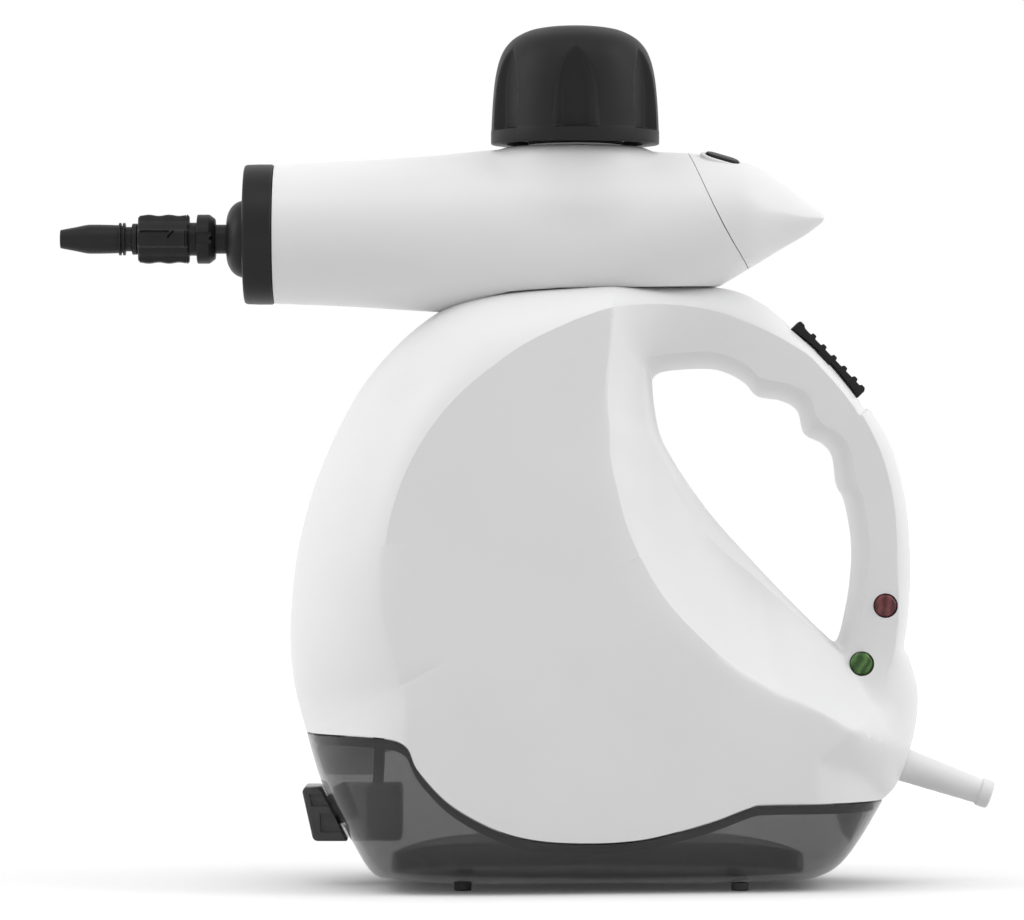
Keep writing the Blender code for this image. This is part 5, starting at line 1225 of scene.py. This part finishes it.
# An outer and an inner tub, joined along their rims
def tubMesh(name, skins):
    points, faces, rims = [], [], []
    for sections, tips in skins:
        base = len(points)
        n = len(sections[0])
        points += [p for row in sections for p in row] + tips
        for a in range(len(sections) - 1):
            for i in range(n - 1):
                p = base + a * n + i
                faces.append((p, p + 1, p + n + 1, p + n))
        last = base + (len(sections) - 1) * n
        front, rear = base + len(sections) * n, base + len(sections) * n + 1
        faces += [(base + i, base + i + 1, front) for i in range(n - 1)]
        faces += [(last + i, last + i + 1, rear) for i in range(n - 1)]
        left = [base + a * n for a in range(len(sections))]
        right = [base + a * n + n - 1 for a in range(len(sections))]
        rims.append([front] + left + [rear] + right[::-1])
    for i in range(len(rims[0])):
        j = (i + 1) % len(rims[0])
        faces.append((rims[0][i], rims[0][j], rims[1][j], rims[1][i]))
    mesh = bpy.data.meshes.new(name)
    mesh.from_pydata(points, [], faces)
    piece = bpy.data.objects.new(name, mesh)
    bpy.context.scene.collection.objects.link(piece)
    editAll(piece)
    bpy.ops.mesh.remove_doubles(threshold=1e-6)
    bpy.ops.mesh.normals_make_consistent(inside=False)
    bpy.ops.object.mode_set(mode="OBJECT")
    return piece


def makeTank():
    piece = tubMesh("detergentTank", [tankSections(0.0, tank["drop"]), tankSections(tank["wall"],
                                                                                    tank["drop"])])
    bore = stopper["plugRadius"] + 0.0003
    neck = turn("neckTool", [(0, -stopper["neckLength"]), (bore + 0.0018, -stopper["neckLength"]),
                             (bore + 0.0018, -0.0010), (0, -0.0010)], 48, stopperSeat)
    carve(piece, [neck], "UNION")
    tools = [turn("mouthTool", [(0, -0.012), (bore, -0.012), (bore, 0.003), (0, 0.003)], 48, stopperSeat)]
    for foot in ("foot_front_left", "foot_front_right", "foot_rear_left", "foot_rear_right"):
        low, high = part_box(foot)
        r, top = (high.x - low.x) / 2 + 0.0002, high.z + 0.0002
        tools.append(turn("footTool", [(0, -0.003), (r, -0.003), (r, top), (0, top)], 24,
                          Matrix.Translation(((low.x + high.x) / 2, (low.y + high.y) / 2, 0))))
    carve(piece, tools)
    smooth(piece, 30)
    finished(piece, "smokedPlastic", "housing", "smoked_plastic", "detergent_tank")
    piece.data.materials.append(finishes["smokedInside"])
    middle = Vector((body["shiftX"], 0, tank["middleZ"]))
    for face in piece.data.polygons:
        face.material_index = 0 if (face.center - middle).dot(face.normal) > 0 else 1


# The dark sealing lip just inside the tank's upper edge
def makeTankRim():
    inset = tank["wall"] + 0.0003
    rims = []
    for extra in (0.0, tank["rimWall"]):
        sections, tips = tankSections(inset + extra, tank["drop"])
        upper = [tips[0]] + [row[0] for row in sections] + [tips[1]] + [row[-1] for row in sections[::-1]]
        rims.append(upper)
    outer, inner = rims
    drop = tank["rimHeight"]
    rings = [outer, inner, [(x, y, z - drop) for x, y, z in inner], [(x, y, z - drop) for x, y, z in outer]]
    piece = fromRings("tankRim", rings, closed=True)
    smooth(piece, 30)
    finished(piece, "smokedRim", "housing", "smoked_plastic")


# The place in the side view of a point that shows at a spot of the picture
def atPixel(px, py, y=0.0):
    near = 1 + y / studioDistance
    return (px - 512) * 0.00035 * near - 0.0056, 0.148 + (460 - py) * 0.00035 * near


def sidePlate(name, corners, low, high, soften):
    outline = [atPixel(px, py, (low + high) / 2) for px, py in corners]
    piece = plate(name, outline, -high, -low, Matrix(((1, 0, 0, 0), (0, 0, -1, 0), (0, 1, 0, 0),
                                                      (0, 0, 0, 1))))
    return bevelled(piece, soften, 2)


# Ribs, post, ledge and filter housing that show through the tank
def makeFittings():
    for name, corners, low, high, soften in (
            ("filterHousing", [(338, 784), (402, 784), (402, 838), (352, 838), (346, 820)], -0.014, 0.014,
             0.0012),
            ("frontBaffle", [(318, 744), (376, 744), (376, 771), (327, 771)], -0.020, 0.020, 0.0006),
            ("hookPost", [(375, 747), (391, 747), (391, 751), (383, 752), (383, 784), (375, 784)], -0.016,
             -0.012,
             0.0003),
            ("rearRib", [(834, 804), (860, 804), (846, 838)], -0.021, 0.021, 0.0004)):
        piece = sidePlate(name, corners, low, high, soften)
        smooth(piece, 30)
        finished(piece, "smokedFitting", "housing", "smoked_plastic")
    low, high = tank["ledge"]["low"], tank["ledge"]["high"]
    a, b, wall = tank["ledge"]["halfLength"], tank["ledge"]["halfWidth"], tank["ledge"]["wall"]
    rings = []
    for inset, drop in ((0, None), (0, 0.0006), (0.0006, 0), (wall - 0.0006, 0), (wall, 0.0006),
                        (wall, None)):
        ring = []
        for k in range(120):
            angle = math.tau * k / 120
            crest = high - (high - low) * tank["ledge"]["fall"] * abs(math.cos(angle)) ** 5
            ring.append((tank["ledge"]["x"] + (a - inset) * math.cos(angle), (b - inset) * math.sin(angle),
                         low if drop is None else crest - drop))
        rings.append(ring)
    ledge = fromRings("floorLedge", rings, closed=True)
    smooth(ledge, 30)
    finished(ledge, "smokedFitting", "housing", "smoked_plastic")


def makeStopper():
    w = stopper["width"] / 2
    piece = sidePlate("tankStopper", stopper["outline"], -w, w, stopper["soft"])
    out, deep, soft = w + stopper["pocketPast"], w - stopper["pocketDepth"], stopper["pocketSoft"]
    carve(piece, [sidePlate("pocketTool", corners, low, high, soft) for low,
                  high in ((-out, -deep), (deep, out))
                  for corners in stopper["pockets"]])
    r, length = stopper["plugRadius"], stopper["plugLength"]
    plug = turn("plugTool", [(0, -length), (r * 0.85, -length), (r, -length * 0.85), (r, -length * 0.62),
                             (r - 0.0012, -length * 0.62), (r - 0.0012, -length * 0.36), (r, -length * 0.36),
                             (r, 0.0020), (0, 0.0020)], 48, stopperSeat)
    carve(piece, [plug], "UNION")
    smooth(piece, 32)
    finished(piece, "smokedBlock", "stopper", "smoked_plastic", "tank_stopper")


def makeFeet():
    for foot in ("foot_front_left", "foot_front_right", "foot_rear_left", "foot_rear_right"):
        low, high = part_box(foot)
        r, top = (high.x - low.x) / 2, high.z
        words = foot.split("_")
        piece = turn("foot" + words[1].title() + words[2].title(),
                     [(0, 0.0004), (r * 0.55, 0.0003), (r * 0.62, 0), (r * 0.9, 0), (r * 0.97, 0.0002),
                      (r, 0.0005),
                      (r, top), (0, top)], 40,
                     Matrix.Translation(((low.x + high.x) / 2, (low.y + high.y) / 2, 0)))
        smooth(piece, 40)
        finished(piece, "footRubber", "housing", "rubber", foot)


def makeScrews():
    for k in range(len(screwShare)):
        node = "shell_screw_%d" % (k + 1)
        low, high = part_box(node)
        r, x, z = (high.x - low.x) / 2, (low.x + high.x) / 2, (low.z + high.z) / 2
        top, bottom = high.y, low.y
        shank = r / 2
        rows = [(0, bottom), (shank, bottom + 0.001), (shank, top - 0.0022), (r, top - 0.0022),
                (r, top - 0.0009),
                (r * 0.9, top - 0.0004), (r * 0.6, top - 0.0001), (0, top)]
        piece = turn("shellScrew%d" % (k + 1), rows, 32, sideSeat(x, z, 1))
        turned = sideSeat(x, z, 1) @ Matrix.Rotation(0.5 * k, 4, "Z")
        arms = [brick("crossTool", (-a, -b, top - 0.0014), (a, b, top + 0.001), turned)
                for a, b in ((0.0019, 0.0004), (0.0004, 0.0019))]
        carve(piece, arms)
        smooth(piece, 35)
        finished(piece, "steel", "housing", "steel", node)


makeTank()
makeTankRim()
makeFittings()
makeStopper()
makeFeet()
makeScrews()
print("tank, stopper, feet and screws done")


# Finishes of the CAD nodes that stay
kept = {
    "silicone": ["nozzle_seal", "boiler_gasket"],
    "darkHose": ["suction_hose", "delivery_hose"],
    "rubber": ["stopper_seal", "safety_cap_seal"],
    "castAluminium": ["boiler_vessel", "boiler_base"],
    "steel": ["boiler_bolt_1", "boiler_bolt_2", "boiler_bolt_3", "boiler_bolt_4", "thermostat",
              "safety_cap_spring", "trigger_spring", "detergent_button_spring", "steam_pipe", "clamp_screw_1",
              "clamp_screw_2"],
    "brass": ["steam_valve", "thermal_fuse"],
    "nylon": ["safety_cap_plug", "detergent_pump", "cord_clamp", "terminal_block"],
    "greyPlastic": ["red_lamp", "green_lamp", "trigger_switch"],
    "smokedFitting": ["suction_filter"],
}
for finish, names in kept.items():
    for name in names:
        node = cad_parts[name]
        node.data.materials.clear()
        node.data.materials.append(finishes[finish])
print("kept nodes finished")


# Camera, light, floor and backdrop

studio = {
    "distance": 1.8, "centreX": -0.0056, "centreZ": 0.148, "lens": 181, "floorSize": 30.0,
    "front": 0.25, "around": 1.17, "turn": 0.0, "behind": 0.65, "floorTone": 0.92, "bounceTone": 0.62,
    "floorGlow": 0.30, "glowNear": 0.03,
    "glowFrom": 0.15, "glowTo": 1.0, "aim": (0, 0, 0.14),
    "softboxes": {
        "keyLeft": ((-1.5, -0.35, 0.9), (0.7, 1.2), 7.2),
        "keyRight": ((1.35, -0.3, 1.05), (0.7, 1.2), 6.4),
        "keyTop": ((0, -0.8, 1.5), (1.2, 0.6), 3.2),
    },
}


def makeCamera():
    camera = bpy.data.objects.new("camera", bpy.data.cameras.new("camera"))
    camera.data.lens = studio["lens"]
    camera.data.sensor_width = 36
    camera.data.clip_end = 50
    camera.location = (studio["centreX"], -studio["distance"], studio["centreZ"])
    camera.rotation_euler = (math.radians(90), 0, 0)
    bpy.context.scene.collection.objects.link(camera)
    bpy.context.scene.camera = camera


def softbox(name, place, target, size, power):
    data = bpy.data.lights.new(name, "AREA")
    data.shape = "RECTANGLE"
    data.size, data.size_y = size
    data.energy = power
    lamp = bpy.data.objects.new(name, data)
    lamp.location = place
    lamp.rotation_euler = (Vector(target) - Vector(place)).to_track_quat("-Z", "Y").to_euler()
    bpy.context.scene.collection.objects.link(lamp)


# 1 for what the camera sees, also in a reflection or through the tank
def seenByCamera(nodes, links):
    path = nodes.new("ShaderNodeLightPath")
    total = path.outputs["Is Camera Ray"]
    for ray in ("Is Glossy Ray", "Is Transmission Ray"):
        most = nodes.new("ShaderNodeMath")
        most.operation = "MAXIMUM"
        links.new(total, most.inputs[0])
        links.new(path.outputs[ray], most.inputs[1])
        total = most.outputs[0]
    return total


def mapRange(nodes, links, source, limits, kind="SMOOTHSTEP"):
    piece = nodes.new("ShaderNodeMapRange")
    piece.interpolation_type = kind
    for key, value in zip(("From Min", "From Max", "To Min", "To Max"), limits):
        piece.inputs[key].default_value = value
    links.new(source, piece.inputs["Value"])
    return piece.outputs["Result"]


def combine(nodes, links, kind, a, b):
    piece = nodes.new("ShaderNodeMath")
    piece.operation = kind
    links.new(a, piece.inputs[0])
    links.new(b, piece.inputs[1])
    return piece.outputs[0]


def makeFloor():
    deselect()
    bpy.ops.mesh.primitive_plane_add(size=studio["floorSize"], location=(0, 0, 0))
    floor = bpy.context.object
    floor.name = "floor"
    material = bpy.data.materials.new("floorPaper")
    material.use_nodes = True
    nodes, links = material.node_tree.nodes, material.node_tree.links
    nodes.clear()
    seen = seenByCamera(nodes, links)
    paper = nodes.new("ShaderNodeBsdfDiffuse")
    links.new(mapRange(nodes, links, seen, (0, 1, studio["bounceTone"], studio["floorTone"]), "LINEAR"),
              paper.inputs["Color"])
    coords = nodes.new("ShaderNodeTexCoord")
    far = nodes.new("ShaderNodeVectorMath")
    far.operation = "LENGTH"
    links.new(coords.outputs["Object"], far.inputs[0])
    lift = mapRange(nodes, links, far.outputs["Value"],
                    (studio["glowFrom"], studio["glowTo"], studio["glowNear"], studio["floorGlow"]))
    glow = nodes.new("ShaderNodeEmission")
    links.new(combine(nodes, links, "MULTIPLY", lift, seen), glow.inputs["Strength"])
    both = nodes.new("ShaderNodeAddShader")
    links.new(paper.outputs[0], both.inputs[0])
    links.new(glow.outputs[0], both.inputs[1])
    out = nodes.new("ShaderNodeOutputMaterial")
    links.new(both.outputs[0], out.inputs["Surface"])
    floor.data.materials.append(material)


# White to the camera; as a light it is strongest from the sides and weaker from before and behind
def makeWorld():
    world = bpy.data.worlds.new("studio")
    bpy.context.scene.world = world
    world.use_nodes = True
    nodes, links = world.node_tree.nodes, world.node_tree.links
    background = nodes["Background"]
    coords = nodes.new("ShaderNodeTexCoord")
    axes = nodes.new("ShaderNodeSeparateXYZ")
    links.new(coords.outputs["Generated"], axes.inputs[0])
    along = axes.outputs["Y"]
    rise = mapRange(nodes, links, along, (-1.0, studio["turn"], studio["front"], studio["around"]))
    fall = mapRange(nodes, links, along, (studio["turn"], 1.0, 0, studio["around"] - studio["behind"]))
    level = nodes.new("ShaderNodeMapRange")
    level.inputs["To Max"].default_value = 1.0
    links.new(seenByCamera(nodes, links), level.inputs["Value"])
    links.new(combine(nodes, links, "SUBTRACT", rise, fall), level.inputs["To Min"])
    links.new(level.outputs["Result"], background.inputs["Strength"])
    background.inputs["Color"].default_value = (1, 1, 1, 1)


makeCamera()
makeWorld()
makeFloor()
for name, (place, size, power) in studio["softboxes"].items():
    softbox(name, place, studio["aim"], size, power)
bpy.context.scene.view_settings.view_transform = "Standard"
print("studio ready")

deselect()
